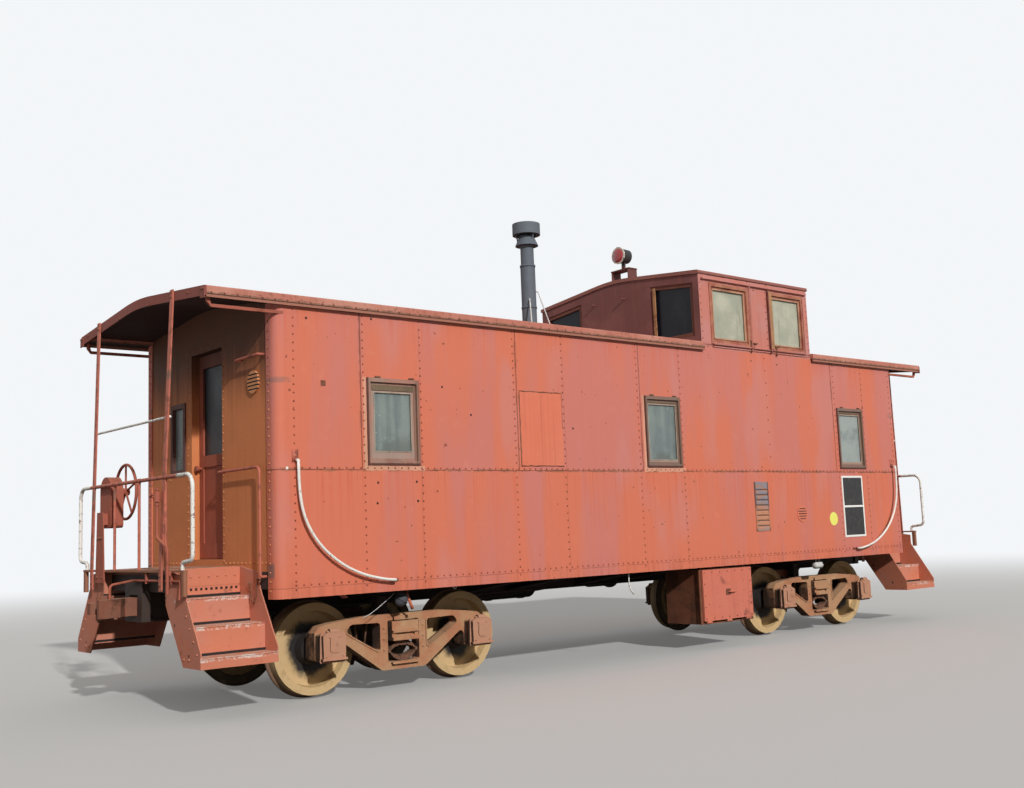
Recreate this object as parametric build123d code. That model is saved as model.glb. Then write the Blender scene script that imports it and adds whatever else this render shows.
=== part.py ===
from build123d import *
import math
import os

# Steel cupola caboose. Lengths are in millimetres. X runs along the car, Y across it,
# and Z is measured up from the rail top. The wheel flanges reach flange_depth below it,
# so every piece is lifted by that much when it is written, and z = 0 is the flange tips.
# End "a" is at -X and end "b" at +X. The near side is -Y and the far side +Y.

# Fits
flat_gap = 0.3
running_gap = 0.05
swing_gap = 6

# Cabin
cabin_half = 4816
half_width = 1406
wall = 64
corner_radius = 90
return_width = 160
sheet_low = 917
plate_level = 3484
deck_level = 1200
floor_depth = 50
ledge = half_width - return_width

# Platforms: the deck's outer edge lies this far beyond the cabin's end
platform_reach = 724
end_face = cabin_half + platform_reach
sill_setback = 110
sill_face = end_face - sill_setback

# Roof
roof_inset = 77
roof_half = end_face - roof_inset
eave_overhang = 51
roof_half_width = half_width + eave_overhang
eave_lift = 66
roof_eave = plate_level + eave_lift
roof_rise = 143
roof_depth = 50
ridge_round = 3000
eave_round = 16

# Cupola
cupola_x0 = 814
cupola_length = 2126
cupola_x1 = cupola_x0 + cupola_length
cupola_height = 876
cupola_eave = roof_eave + cupola_height
cupola_rise = 152
cupola_roof_depth = 45
cupola_overhang = 15
cupola_middle = cupola_x0 + cupola_length / 2

# Underframe and trucks
centre_sill_half = 165
centre_sill_low = 740
side_sill_low = 930
coupler_height = 876
coupler_reach = 325
truck_centre = 3296
wheelbase = 1676
back_to_back = 1353
tyre_width = 145
wheel_radius = 419
flange_depth = 25.4
axle_radius = 82
journal_radius = 63.5
journal_height = wheel_radius

ends = ((-1, "a"), (1, "b"))
sides = (-1, 1)

os.makedirs("parts", exist_ok=True)


def save(node, *solids):
    """Lifts the pieces to stand on the flange tips and writes them as one node."""
    lifted = [Pos(0, 0, flange_depth) * piece for solid in solids for piece in solid.solids()]
    export_step(Compound(children=lifted), f"parts/{node}.step")


def block(x0, x1, y0, y1, z0, z1):
    """A box between two opposite corners, given in either order."""
    middle = Pos((x0 + x1) / 2, (y0 + y1) / 2, (z0 + z1) / 2)
    return middle * Box(abs(x1 - x0), abs(y1 - y0), abs(z1 - z0))


def outline_face(axis, points, level, radius=0):
    """A flat face across an axis inside a closed outline, filleted at its corners."""
    place = {
        "x": lambda p: (level, p[0], p[1]),
        "y": lambda p: (p[0], level, p[1]),
        "z": lambda p: (p[0], p[1], level),
    }[axis]
    return make_face(FilletPolyline(*[place(p) for p in points], radius=radius, close=True))


def prism(axis, points, start, end, radius=0):
    """A closed outline drawn across an axis and pulled along it."""
    low, high = min(start, end), max(start, end)
    along = {"x": (1, 0, 0), "y": (0, 1, 0), "z": (0, 0, 1)}[axis]
    return extrude(outline_face(axis, points, low, radius), amount=high - low, dir=along)


def rod(points, radius, bend=0):
    """A round bar along straight runs joined by arcs."""
    path = FilletPolyline(*points, radius=bend) if len(points) > 2 else Line(*points)
    start = Plane(origin=path @ 0, z_dir=path % 0)
    return sweep(start * Circle(radius), path=path)


def leaning_bar(foot, head, thick, width):
    """A flat bar with level ends that leans from one middle point to another."""
    x, y, z = foot
    places = ((-1, -1), (1, -1), (1, 1), (-1, 1))
    corners = [(x + thick / 2 * across, y + width / 2 * along, z) for across, along in places]
    base = make_face(Polyline(*corners, close=True))
    run = Vector(*head) - Vector(*foot)
    return extrude(base, amount=run.length, dir=run.normalized())


def disc(centre, axis, radius, length):
    """A cylinder from its centre point along an axis by a signed length."""
    x, y, z = centre
    turn = {"x": (0, 90, 0), "y": (-90, 0, 0), "z": (0, 0, 0)}[axis]
    half = {"x": (length / 2, 0, 0), "y": (0, length / 2, 0), "z": (0, 0, length / 2)}[axis]
    return Pos(x + half[0], y + half[1], z + half[2]) * Rot(*turn) * Cylinder(radius, abs(length))


def revolved(axis, centre, profile):
    """Turns a closed profile of (distance along the axis, radius) pairs about that axis."""
    place = {
        "x": lambda along, radius: (along, 0, radius),
        "y": lambda along, radius: (0, along, radius),
        "z": lambda along, radius: (radius, 0, along),
    }[axis]
    about = {"x": Axis.X, "y": Axis.Y, "z": Axis.Z}[axis]
    return Pos(*centre) * revolve(make_face(Polyline(*[place(*p) for p in profile], close=True)), about)


def both_sides(solid):
    return [solid, mirror(solid, about=Plane.XZ)]


def turned_end(solid):
    """The like piece at the other end, turned half round the car's upright middle line."""
    return Rot(0, 0, 180) * solid


def mirrored_cupola(solid):
    """The like piece at the cupola's other end."""
    return mirror(solid, about=Plane(origin=(cupola_middle, 0, 0), z_dir=(1, 0, 0)))


def roof_height(y, eave, rise, half):
    return eave + rise * (1 - abs(y) / half)


def main_roof_height(y):
    return roof_height(y, roof_eave, roof_rise, roof_half_width)


def cupola_roof_height(y):
    return roof_height(y, cupola_eave, cupola_rise, half_width + cupola_overhang)


# Side walls: sheet, corner posts and end returns, with the window openings cut
window_low = 2077
window_height = 773
window_high = window_low + window_height
window_width = 560
side_windows = (-3590, 70, 3722)
frame_width = 45
frame_proud = 14
frame_flange = 15
sash_setback = 12
glass_depth = 6


def side_wall():
    outer, inner = cabin_half, cabin_half - wall
    points = [
        (-outer, -ledge), (-outer, -half_width), (outer, -half_width), (outer, -ledge),
        (inner, -ledge), (inner, wall - half_width), (-inner, wall - half_width), (-inner, -ledge),
    ]
    inside = corner_radius - wall
    radii = [0, corner_radius, corner_radius, 0, 0, inside, inside, 0]
    shell = prism("z", points, sheet_low, plate_level, radii)
    for middle in side_windows:
        half = window_width / 2
        shell -= block(middle - half, middle + half, -half_width - 1, wall - half_width + 1,
                       window_low, window_high)
    return shell


near_wall = side_wall()
save("side_wall_near", near_wall)
save("side_wall_far", mirror(near_wall, about=Plane.XZ))


def window_frame(middle, low, high, width, lip=frame_width, proud=frame_proud):
    """A near-side frame: flange over the sheet, body through the wall and a sash set back in it."""
    half, face = width / 2, -half_width
    frame = block(middle - half - frame_flange, middle + half + frame_flange, face - proud, face,
                  low - frame_flange, high + frame_flange)
    frame += block(middle - half, middle + half, face, face + wall, low, high)
    for edge, front, back in ((lip / 2, face - proud - 1, face + sash_setback), (lip, face, face + wall + 1)):
        frame -= block(middle - half + edge, middle + half - edge, front, back, low + edge, high - edge)
    return frame


def pane(middle, low, high, width, lip=frame_width):
    y, half = wall / 2 - half_width, width / 2 - lip
    return block(middle - half, middle + half, y - glass_depth / 2, y + glass_depth / 2,
                 low + lip, high - lip)


frames = [window_frame(m, window_low, window_high, window_width) for m in side_windows]
panes = [pane(m, window_low, window_high, window_width) for m in side_windows]

# End walls: recessed doorway with a deep jamb, one window and a round vent
wall_recess = 12
end_wall_face = cabin_half - wall_recess
end_wall_inner = cabin_half - wall
door_half = 330
door_middle = -30
door_high = 3235
door_sill = 60
jamb_depth = 120
jamb_wall = 30
end_window_middle = 600
end_window_width = 314
end_window_low = 2102
end_window_high = 2780
end_window_lip = 35
end_window_flange = 12

# Door hinges: a pin through barrels on the leaf, held by a lug above and below each
door_thick = 44
door_x0 = end_wall_face - jamb_depth + door_thick
hinge_pin = 6
hinge_barrel = 10
hinge_levels = (1500, 2300, 3050)
hinge_half = 33
hinge_lug = 14
hinge_x = end_wall_face - jamb_depth - hinge_barrel
hinge_y = door_middle - door_half + swing_gap / 2
hinge_reach = 28


def end_wall():
    """The wall at end a, with the doorway's jamb box standing inward of it."""
    top = main_roof_height(ledge) - roof_depth
    peak = roof_eave + roof_rise - roof_depth
    low = deck_level - floor_depth
    points = [(-ledge, low), (ledge, low), (ledge, top), (0, peak), (-ledge, top)]
    face, inner = -end_wall_face, -end_wall_inner
    sheet = prism("x", points, face, inner, [0, 0, 0, ridge_round, 0])
    left, right = door_middle - door_half, door_middle + door_half
    jamb = block(face, face + jamb_depth, left - jamb_wall, right + jamb_wall, deck_level,
                 door_high + jamb_wall)
    opening = block(face - 1, face + jamb_depth + 1, left, right, deck_level + door_sill, door_high)
    window = block(face - 1, inner + 1, end_window_middle - end_window_width / 2,
                   end_window_middle + end_window_width / 2, end_window_low, end_window_high)
    frame = sheet + jamb - opening - window
    for level in hinge_levels:
        foot = level - hinge_half - hinge_lug
        frame += disc((-hinge_x, hinge_y, foot), "z", hinge_pin, 2 * (hinge_half + hinge_lug))
        for low in (foot, level + hinge_half + flat_gap):
            lug = disc((-hinge_x, hinge_y, low), "z", hinge_barrel - 1, hinge_lug - flat_gap)
            lug += block(-hinge_x - hinge_barrel, -hinge_x + hinge_barrel - 1, hinge_y - hinge_reach,
                         hinge_y, low, low + hinge_lug - flat_gap)
            frame += lug
    return frame


wall_a = end_wall()
save("end_wall_a", wall_a)
save("end_wall_b", turned_end(wall_a))


def end_window_parts():
    face, half, lip, flange = -end_wall_face, end_window_width / 2, end_window_lip, end_window_flange
    y0, y1 = end_window_middle - half, end_window_middle + half
    rim = block(face - frame_proud, face, y0 - flange, y1 + flange, end_window_low - flange,
                end_window_high + flange)
    rim += block(face, -end_wall_inner, y0, y1, end_window_low, end_window_high)
    low, high = end_window_low + lip, end_window_high - lip
    frame = rim - block(face - wall, face + wall, y0 + lip, y1 - lip, low, high)
    x = (face - end_wall_inner) / 2
    glass = block(x - glass_depth / 2, x + glass_depth / 2, y0 + lip, y1 - lip, low, high)
    return frame, glass


end_frame, end_glass = end_window_parts()
all_frames = [piece for frame in frames for piece in both_sides(frame)]
all_panes = [piece for glass in panes for piece in both_sides(glass)]
save("window_frames", *all_frames, end_frame, turned_end(end_frame))
save("window_glass", *all_panes, end_glass, turned_end(end_glass))

# Cabin floor
floor_half = half_width - wall
floor_outline = [
    (-end_wall_inner, -floor_half), (end_wall_inner, -floor_half),
    (end_wall_inner, floor_half), (-end_wall_inner, floor_half),
]
floor_round = corner_radius - wall
save("cabin_floor", prism("z", floor_outline, deck_level - floor_depth, deck_level, floor_round))

# Roof halves either side of the cupola: rolled edges with a thin flange hanging below them
rim_depth = 73
rim_flange = 25
rim_thick = 22
rim_step = 7


def roof_shell(x0, x1, half, eave, rise, depth, seat, plate, rim=None):
    """A sloped roof with a rounded ridge that sits on the side plates by a flat seat."""
    under = roof_height(seat, eave, rise, half) - depth
    edge = [(-half, plate), (-half, eave)]
    radii = [eave_round, eave_round]
    if rim:
        drop, flange, thick, step = rim
        edge = [
            (-half + thick, plate), (-half + thick, eave - drop - flange),
            (-half + step, eave - drop - flange), (-half + step, eave - drop),
            (-half, eave - drop), (-half, eave),
        ]
        radii = [0, 0, 0, 0, 5, eave_round]
    inner = [(-seat, under), (-seat, plate)]
    left = edge + [(0, eave + rise)]
    right = [(-y, z) for y, z in reversed(edge)]
    points = left + right + [(-y, z) for y, z in reversed(inner)] + [(0, eave + rise - depth)] + inner
    corners = radii + [ridge_round] + radii[::-1] + [0, 0, ridge_round, 0, 0]
    return prism("x", points, x0, x1, corners)


def main_roof(x0, x1):
    return roof_shell(x0, x1, roof_half_width, roof_eave, roof_rise, roof_depth, ledge, plate_level,
                      (rim_depth, rim_flange, rim_thick, rim_step))


roof_a = main_roof(-roof_half, cupola_x0)
save("main_roof", roof_a, main_roof(cupola_x1, roof_half))

# End angles that close the roof, with a gusset at each corner
angle_drop = 88
angle_thick = 14
gusset_width = 85
gusset_drop = 20
gusset_thick = 8
end_angle_face = roof_half + angle_thick


def roof_end_angle():
    """A rolled angle across the roof's end that follows its slope."""
    half, eave, rise = roof_half_width, roof_eave, roof_rise
    points = [
        (-half, eave - angle_drop), (-half, eave), (0, eave + rise), (half, eave),
        (half, eave - angle_drop), (0, eave + rise - angle_drop),
    ]
    radii = [0, eave_round, ridge_round, eave_round, 0, ridge_round]
    angle = prism("x", points, -end_angle_face, -roof_half, radii)
    slope = roof_rise / roof_half_width * gusset_width
    gusset = [
        (-half, eave - angle_drop - gusset_drop), (-half, eave - eave_round),
        (gusset_width - half, eave - eave_round + slope),
        (gusset_width - half, eave - angle_drop - gusset_drop + slope),
    ]
    for piece in both_sides(prism("x", gusset, -end_angle_face - gusset_thick, -end_angle_face)):
        angle += piece
    return angle


end_angle = roof_end_angle()
save("roof_end_angles", end_angle, turned_end(end_angle))

# Plate bars: the side plates' lower flanges, run on under the roof over the platforms
bar_low = 3378
bar_depth = 28
bar_width = 26
bar_short = 23
bar_tip = 40


def plate_bar():
    """The near bar at end a, its outer end turned up to the roof's flat seat."""
    x0, x1 = corner_radius - cabin_half, bar_short - roof_half
    high = bar_low + bar_depth
    points = [
        (x0, bar_low), (x0, high), (x1 + bar_tip, high), (x1 + bar_depth, high + bar_tip),
        (x1 + bar_depth, plate_level), (x1, plate_level), (x1, high + bar_tip / 2),
        (x1 + bar_tip, bar_low),
    ]
    return prism("y", points, -half_width, bar_width - half_width) - near_wall


near_bar = plate_bar()
save("canopy_bars", *both_sides(near_bar), *[turned_end(piece) for piece in both_sides(near_bar)])

# Cupola: flush sides standing on the side plates, sloped ends standing on the roof
cupola_window_insets = (546, 465)
cupola_windows = (cupola_x0 + cupola_window_insets[0], cupola_x1 - cupola_window_insets[1])
cupola_window_width = 700
cupola_window_low = 3560
cupola_window_high = 4275
cupola_end_y0 = 625
cupola_end_margin = 92
cupola_end_y1 = half_width - cupola_end_margin
cupola_end_low = 3640
cupola_end_drop = 150
cupola_plate = cupola_eave - cupola_roof_depth


def end_opening(lip=0):
    """The outline of the near opening in the cupola's end, with its top on the roof's slope."""
    y0, y1 = cupola_end_y0 + lip, cupola_end_y1 - lip
    drop = cupola_end_drop + lip
    return [
        (-y0, cupola_end_low + lip), (-y1, cupola_end_low + lip),
        (-y1, cupola_roof_height(y1) - drop), (-y0, cupola_roof_height(y0) - drop),
    ]


def cupola_walls():
    x0, x1 = cupola_x0, cupola_x1
    inner = half_width - wall
    peak = cupola_eave + cupola_rise - cupola_roof_depth
    gable = cupola_roof_height(inner) - cupola_roof_depth
    points = [
        (-half_width, plate_level), (half_width, plate_level), (half_width, cupola_plate),
        (inner, cupola_plate), (inner, gable), (0, peak), (-inner, gable), (-inner, cupola_plate),
        (-half_width, cupola_plate),
    ]
    shell = prism("x", points, x0, x1, [0, 0, 0, 0, 0, ridge_round, 0, 0, 0])
    shell -= block(x0 + wall, x1 - wall, -inner, inner, plate_level - 1, peak + 1)
    for middle in cupola_windows:
        half = cupola_window_width / 2
        shell -= block(middle - half, middle + half, -half_width - 1, half_width + 1,
                       cupola_window_low, cupola_window_high)
    for piece in both_sides(prism("x", end_opening(), x0 - 1, x1 + 1)):
        shell -= piece
    return shell


cupola_roof = roof_shell(cupola_x0 - cupola_overhang, cupola_x1 + cupola_overhang,
                         half_width + cupola_overhang, cupola_eave, cupola_rise, cupola_roof_depth,
                         half_width - wall, cupola_plate)
save("cupola_walls", cupola_walls())
save("cupola_roof", cupola_roof)

# Cupola sashes: framed side windows and wooden sashes set in the end openings
sash_lip = 50
side_sash_proud = 10
end_sash_lip = 48
end_sash_setback = 12


def cupola_end_sash():
    """The near sash and pane at end a."""
    x0, x1 = cupola_x0 + end_sash_setback, cupola_x0 + wall
    middle = (x0 + x1) / 2
    inner = end_opening(end_sash_lip)
    sash = prism("x", end_opening(), x0, x1) - prism("x", inner, x0 - 1, x1 + 1)
    return sash, prism("x", inner, middle - glass_depth / 2, middle + glass_depth / 2)


end_sash, end_pane = cupola_end_sash()
sashes = [end_sash, mirrored_cupola(end_sash)]
cupola_panes = [end_pane, mirrored_cupola(end_pane)]
for middle in cupola_windows:
    size = (middle, cupola_window_low, cupola_window_high, cupola_window_width, sash_lip)
    sashes.append(window_frame(*size, side_sash_proud))
    cupola_panes.append(pane(*size))
save("cupola_sashes", *[piece for sash in sashes for piece in both_sides(sash)])
save("cupola_glass", *[piece for glass in cupola_panes for piece in both_sides(glass)])

# Cupola trim: drip rails and sill strips on the sides, stay rods beside the middle panel, end pegs
drip_low = 4321
drip_depth = 20
drip_proud = 34
drip_inset = 40
sill_low = 3531
sill_depth = 14
sill_proud = 24
stay_radius = 8
stay_low = 3500
stay_inset = 20
peg_radius = 11
peg_length = 62
peg_places = ((363, 4297), (-180, 4288))


def cupola_trim():
    """The near side's trim with its two stays, which run from the drip rail past the sill."""
    face = -half_width
    drip = block(cupola_x0 + drip_inset, cupola_x1 - drip_inset, face - drip_proud, face,
                 drip_low, drip_low + drip_depth)
    first, last = cupola_windows[0], cupola_windows[-1]
    half = cupola_window_width / 2
    sill = block(first - half, last + half, face - sill_proud, face, sill_low, sill_low + sill_depth)
    pieces = [drip, sill]
    for x in (first + half + stay_inset, last - half - stay_inset):
        y = face - sill_proud - stay_radius
        route = [(x, y, drip_low), (x, y, stay_low), (x, face, stay_low)]
        pieces.append(rod(route, stay_radius, stay_radius * 2))
    return pieces


trim = [side for piece in cupola_trim() for side in both_sides(piece)]
pegs = [disc((cupola_x0, y, z), "x", peg_radius, -peg_length) for y, z in peg_places]
save("cupola_trim", *trim, *pegs, *[mirrored_cupola(peg) for peg in pegs])

# Underframe: centre sill, side sills, cross bearers, body bolsters, end sills and strikers
sill_web = 14
sill_flange = 60
bearer_places = (-1930, -1250, -200, 520, 1565)
bearer_flange = 120
bearer_rise = 20
bolster_half = 150
bolster_cover = 40
centre_plate_level = 690
centre_plate_radius = 150
side_bearing_y = 635
side_bearing_half = 55
side_bearing_level = 660
side_bearing_gap = 8
end_sill_low = 1000
end_flange = 70
platform_beam_y = (640, 700)
shank_end = 4700
shank_high = 80
draft_depth = 120
striker_depth = 70
striker_half = 190
striker_top = 1100
mouth_half = 100
mouth_gap = 20
sill_top = deck_level - floor_depth
sill_inner = centre_sill_half - sill_web


def centre_sill():
    x = sill_face - sill_web
    sill = block(-x, x, -centre_sill_half, centre_sill_half, centre_sill_low, sill_top)
    sill -= block(-x - 1, x + 1, -sill_inner, sill_inner, centre_sill_low - 1, sill_top - sill_web)
    for side in sides:
        sill += block(-x, x, side * centre_sill_half, side * (centre_sill_half + sill_flange),
                      centre_sill_low, centre_sill_low + sill_web)
    return sill


def side_sill(side):
    outer = side * (half_width - wall)
    lip = outer - side * sill_flange
    x = cabin_half - return_width
    sill = block(-x, x, outer, outer - side * sill_web, side_sill_low, sill_top)
    sill += block(-x, x, outer, lip, side_sill_low, side_sill_low + sill_web)
    return sill + block(-x, x, outer, lip, sill_top - sill_web, sill_top)


def cross_bearer(x, half, side, flange):
    """A tapered web from the centre sill to a side sill, with a flange along its lower edge."""
    y0, y1 = side * centre_sill_half, side * (half_width - wall)
    low = centre_sill_low + bearer_rise
    web = prism("x", [(y0, low), (y1, side_sill_low), (y1, sill_top), (y0, sill_top)], x - half, x + half)
    foot = [(y0, low), (y1, side_sill_low), (y1, side_sill_low + sill_web), (y0, low + sill_web)]
    return web + prism("x", foot, x - flange / 2, x + flange / 2)


def body_bolster(x):
    """Box bolster over a truck: both arms, cover plate, centre plate and side bearings."""
    bolster = block(x - bolster_half, x + bolster_half, -centre_sill_half, centre_sill_half,
                    centre_sill_low, centre_sill_low + bolster_cover)
    bolster += disc((x, 0, centre_plate_level + flat_gap), "z", centre_plate_radius,
                    centre_sill_low + bolster_cover - centre_plate_level)
    for side in sides:
        bolster += cross_bearer(x, bolster_half, side, 2 * bolster_half)
        y = side * side_bearing_y
        bolster += block(x - side_bearing_half, x + side_bearing_half, y - side_bearing_half,
                         y + side_bearing_half, side_bearing_level + side_bearing_gap, side_sill_low)
    return bolster


def platform_frame(end):
    """End sill with its flange, platform beams, striker round the coupler and draft stop."""
    face, web = end * sill_face, end * (sill_face - sill_web)
    frame = block(face, web, -platform_beam_y[1], platform_beam_y[1], end_sill_low, sill_top)
    frame += block(face, end * (sill_face - end_flange), -platform_beam_y[1], platform_beam_y[1],
                   end_sill_low, end_sill_low + sill_web)
    root = end * end_wall_face
    for side in sides:
        inner, outer = platform_beam_y
        frame += block(root, web, side * inner, side * outer, end_sill_low, sill_top)
    frame += block(root, root - end * end_flange, -ledge, ledge, end_sill_low, sill_top)
    shank_top, shank_low = coupler_height + shank_high, coupler_height - shank_high
    striker = block(web, end * (sill_face + striker_depth), -striker_half, striker_half,
                    centre_sill_low, striker_top)
    striker -= block(end * (sill_face - end_flange), end * (sill_face + striker_depth + 1), -mouth_half,
                     mouth_half, shank_low - flat_gap, shank_top + mouth_gap)
    frame += striker
    stop_face, stop_back = end * (shank_end - flat_gap), end * (shank_end - draft_depth)
    return frame + block(stop_face, stop_back, -sill_inner, sill_inner,
                         centre_sill_low + bearer_rise, shank_top)


def underframe():
    frame = centre_sill()
    for side in sides:
        frame += side_sill(side)
        for x in bearer_places:
            frame += cross_bearer(x, sill_web / 2, side, bearer_flange)
    for end, _ in ends:
        frame += body_bolster(end * truck_centre)
        frame += platform_frame(end)
    return frame


save("underframe", underframe())

# Platform decks: thin-edged beyond the end sill, notched for the step wells
step_inner_x = end_wall_face
step_inset = 38
step_outer_x = end_face - step_inset
deck_edge_y = 703
deck_edge_depth = 20
strip_half = 1160
end_cap_width = 58
end_cap_low = 985
end_cap_round = 14


def platform_deck():
    """The deck at end a, with a cap turned down at each end of its outer strip."""
    near = [
        (-step_inner_x, -deck_edge_y), (-step_outer_x, -deck_edge_y), (-step_outer_x, -strip_half),
        (-end_face, -strip_half),
    ]
    far = [(x, -y) for x, y in reversed(near)]
    deck = prism("z", near + far, sill_top, deck_level)
    deck -= block(-end_face - 1, -sill_face, -strip_half - 1, strip_half + 1, sill_top - 1,
                  deck_level - deck_edge_depth)
    cap = [
        (-end_face, -strip_half), (-step_outer_x, -strip_half),
        (-step_outer_x, end_cap_width - strip_half), (-end_face, end_cap_width - strip_half),
    ]
    for piece in both_sides(prism("z", cap, end_cap_low, deck_level - deck_edge_depth, end_cap_round)):
        deck += piece
    return deck


deck_a = platform_deck()
save("platform_decks", deck_a, turned_end(deck_a))

# Steps: slanted stringers with treads and closed risers
stringer_thick = 10
tread_thick = 8
step_front_inset = 11
step_front_y = half_width - step_front_inset
well_y = deck_edge_y + tread_thick
step_levels = (491, 727, 950)
step_backs = (1174, 893, well_y)
step_skirt = 86
stringer_front = 40
stringer_shoulder = (1085, 1015)
stringer_heel = 1060
stringer_neck = 900


def step_stringer(x):
    """Side plate of the near steps, its front edge leaning in towards the deck."""
    low = step_levels[0] - step_skirt
    shoulder, neck = stringer_shoulder
    points = [
        (-step_front_y, low), (-step_front_y, step_levels[0] + stringer_front), (-shoulder, neck),
        (-shoulder, deck_level - end_cap_width), (-well_y, deck_level), (-well_y, stringer_neck),
        (-stringer_heel, low),
    ]
    return prism("x", points, x, x + stringer_thick, [0, 0, 60, 0, 0, 0, 0])


def steps():
    """The near steps at end a."""
    x0, x1 = -step_outer_x, -step_inner_x
    solid = step_stringer(x0) + step_stringer(x1 - stringer_thick)
    fronts = (step_front_y,) + step_backs[:-1]
    tops = step_levels[1:] + (deck_level,)
    for level, front, back, top in zip(step_levels, fronts, step_backs, tops):
        solid += block(x0, x1, -front, -back, level - tread_thick, level)
        solid += block(x0, x1, -back, tread_thick - back, level - tread_thick, top)
    skirt_low = step_levels[0] - step_skirt
    return solid + block(x0, x1, -step_front_y, tread_thick - step_front_y, skirt_low, step_levels[0])


near_steps = steps()
save("steps_a", *both_sides(near_steps))
save("steps_b", *[turned_end(piece) for piece in both_sides(near_steps)])

# End railings: flat posts from the deck's edge to the roof angle, a top rail with outer loops
# and upright bars, and a plain rod between the posts
post_width = 60
post_thick = 14
post_foot_low = 1020
post_feet_y = (-712, 912)
post_heads_y = (-803, 935)
post_over = 12
rail_level = 1990
rail_radius = 17
rail_inset = 19
rail_x = end_face - rail_inset
handrail_inset = 109
handrail_y = half_width - handrail_inset
handrail_low = 1262
handrail_dip = 20
handrail_foot_y = 1100
bar_radius = 13
bar_places = (400, -180, -758)
stay_level = 2512
stay_rod_radius = 11


def post_middle(level, foot_y, head_y):
    """The middle of a leaning post at a level."""
    high = main_roof_height(head_y) - angle_drop
    share = (level - deck_level) / (high - deck_level)
    foot_x, head_x = end_face + post_thick / 2, end_angle_face + post_thick / 2
    return -(foot_x + (head_x - foot_x) * share), foot_y + (head_y - foot_y) * share


def roof_post(foot_y, head_y):
    """A flat bar bolted to the deck's edge and to the front of the roof's end angle."""
    top = main_roof_height(head_y)
    foot_x, half = end_face + post_thick / 2, post_width / 2
    head_x = end_angle_face + post_thick / 2
    post = block(-end_face, -end_face - post_thick, foot_y - half, foot_y + half,
                 post_foot_low, deck_level)
    post += leaning_bar((-foot_x, foot_y, deck_level), (-head_x, head_y, top - angle_drop),
                        post_thick, post_width)
    return post + block(-end_angle_face, -end_angle_face - post_thick, head_y - half, head_y + half,
                        top - angle_drop, top + post_over)


def end_railing():
    """The railing at end a."""
    x = -rail_x
    loop = [
        (x, -handrail_foot_y, deck_level), (x, -handrail_foot_y, handrail_low),
        (x, -handrail_y, handrail_low + handrail_dip), (x, -handrail_y, rail_level),
    ]
    route = loop + [(px, -py, pz) for px, py, pz in reversed(loop)]
    railing = rod(route, rail_radius, [30, 60, 110, 110, 60, 30])
    for foot_y, head_y in zip(post_feet_y, post_heads_y):
        railing += roof_post(foot_y, head_y)
    for y in bar_places:
        railing += rod([(x, y, deck_level), (x, y, rail_level)], bar_radius)
    return railing


def stay_rod():
    """The rod behind the posts at end a."""
    places = [post_middle(stay_level, foot_y, head_y) for foot_y, head_y in zip(post_feet_y, post_heads_y)]
    back = post_thick / 2 + stay_rod_radius + flat_gap
    route = [(px + back, py + side * post_width / 2, stay_level) for side, (px, py) in zip(sides, places)]
    return rod(route, stay_rod_radius)


railing_a = end_railing()
stay_a = stay_rod()
save("end_railing_a", railing_a)
save("end_railing_b", turned_end(railing_a))
save("post_rods", stay_a, turned_end(stay_a))

# Hand brake: geared case on a plate stand, with the wheel on the platform side
brake_y = 700
brake_level = 1935
brake_clear = 8
brake_depth = 120
case_half = 140
case_low = 1590
case_round = 40
stand_low = 1080
stand_high = 1740
stand_foot_half = 110
stand_head_half = 75
stand_thick = 10
brace_rise = 30
brace_half = 60
brace_depth = 110
boss_radius = 70
boss_depth = 30
handwheel_radius = 275
handwheel_reach = 46
handwheel_shaft = 24
handwheel_hub = 34
hub_depth = 60
rim_bar = 14
spoke_radius = 10
spoke_count = 5
brake_case_x0 = rail_x - rail_radius - brake_clear
brake_case_x1 = brake_case_x0 - brake_depth
handwheel_x = brake_case_x1 - boss_depth - handwheel_reach


def brake_stand():
    """Round-topped gear case, and the stand plate in front of the deck's edge that carries it."""
    y, half, high = brake_y, case_half, brake_level + case_half
    points = [(y - half, case_low), (y + half, case_low), (y + half, high), (y - half, high)]
    radii = [case_round, case_round, half - 5, half - 5]
    case = prism("x", points, -brake_case_x0, -brake_case_x1, radii)
    plate = [
        (y - stand_foot_half, stand_low), (y + stand_foot_half, stand_low),
        (y + stand_head_half, stand_high), (y - stand_head_half, stand_high),
    ]
    stand = case + prism("x", plate, -end_face - stand_thick, -end_face)
    brace_low = case_low + brace_rise
    stand += block(-end_face, -brake_case_x0, y - brace_half, y + brace_half,
                   brace_low, brace_low + brace_depth)
    return stand + disc((-brake_case_x1, y, brake_level), "x", boss_radius, boss_depth)


def handwheel():
    """Round rim, hub and five spokes, turning on the gear case's shaft."""
    x, boss_face = -handwheel_x, -brake_case_x1 + boss_depth
    wheel = disc((x - hub_depth / 2, brake_y, brake_level), "x", handwheel_hub, hub_depth)
    wheel += disc((boss_face + flat_gap, brake_y, brake_level), "x", handwheel_shaft,
                  x - boss_face - flat_gap)
    reach = handwheel_radius - rim_bar
    section = Plane.XY * Pos(0, reach) * Circle(rim_bar)
    wheel += Pos(x, brake_y, brake_level) * revolve(section, Axis.X)
    for index in range(spoke_count):
        angle = math.radians(90 + 360 / spoke_count * index)
        tip = (x, brake_y + reach * math.cos(angle), brake_level + reach * math.sin(angle))
        wheel += rod([(x, brake_y, brake_level), tip], spoke_radius)
    return wheel


stand = brake_stand()
wheel_a = handwheel()
save("brake_stand_a", stand)
save("brake_stand_b", turned_end(stand))
save("handwheel_a", wheel_a)
save("handwheel_b", turned_end(wheel_a))

# Valve pipe: a cock below the rail and its pipe, kinked past the post and down the deck's edge
valve_y = -690
valve_top = 1885
valve_body = (1780, 1866)
valve_body_radius = 30
valve_handle = 65
valve_radius = 15
valve_x = end_face + post_thick + valve_radius + flat_gap
pipe_clip = (1156, 1194, 12)
pipe_kink = (1474, 1386)
pipe_foot_y = -905
pipe_foot = 1005


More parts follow.
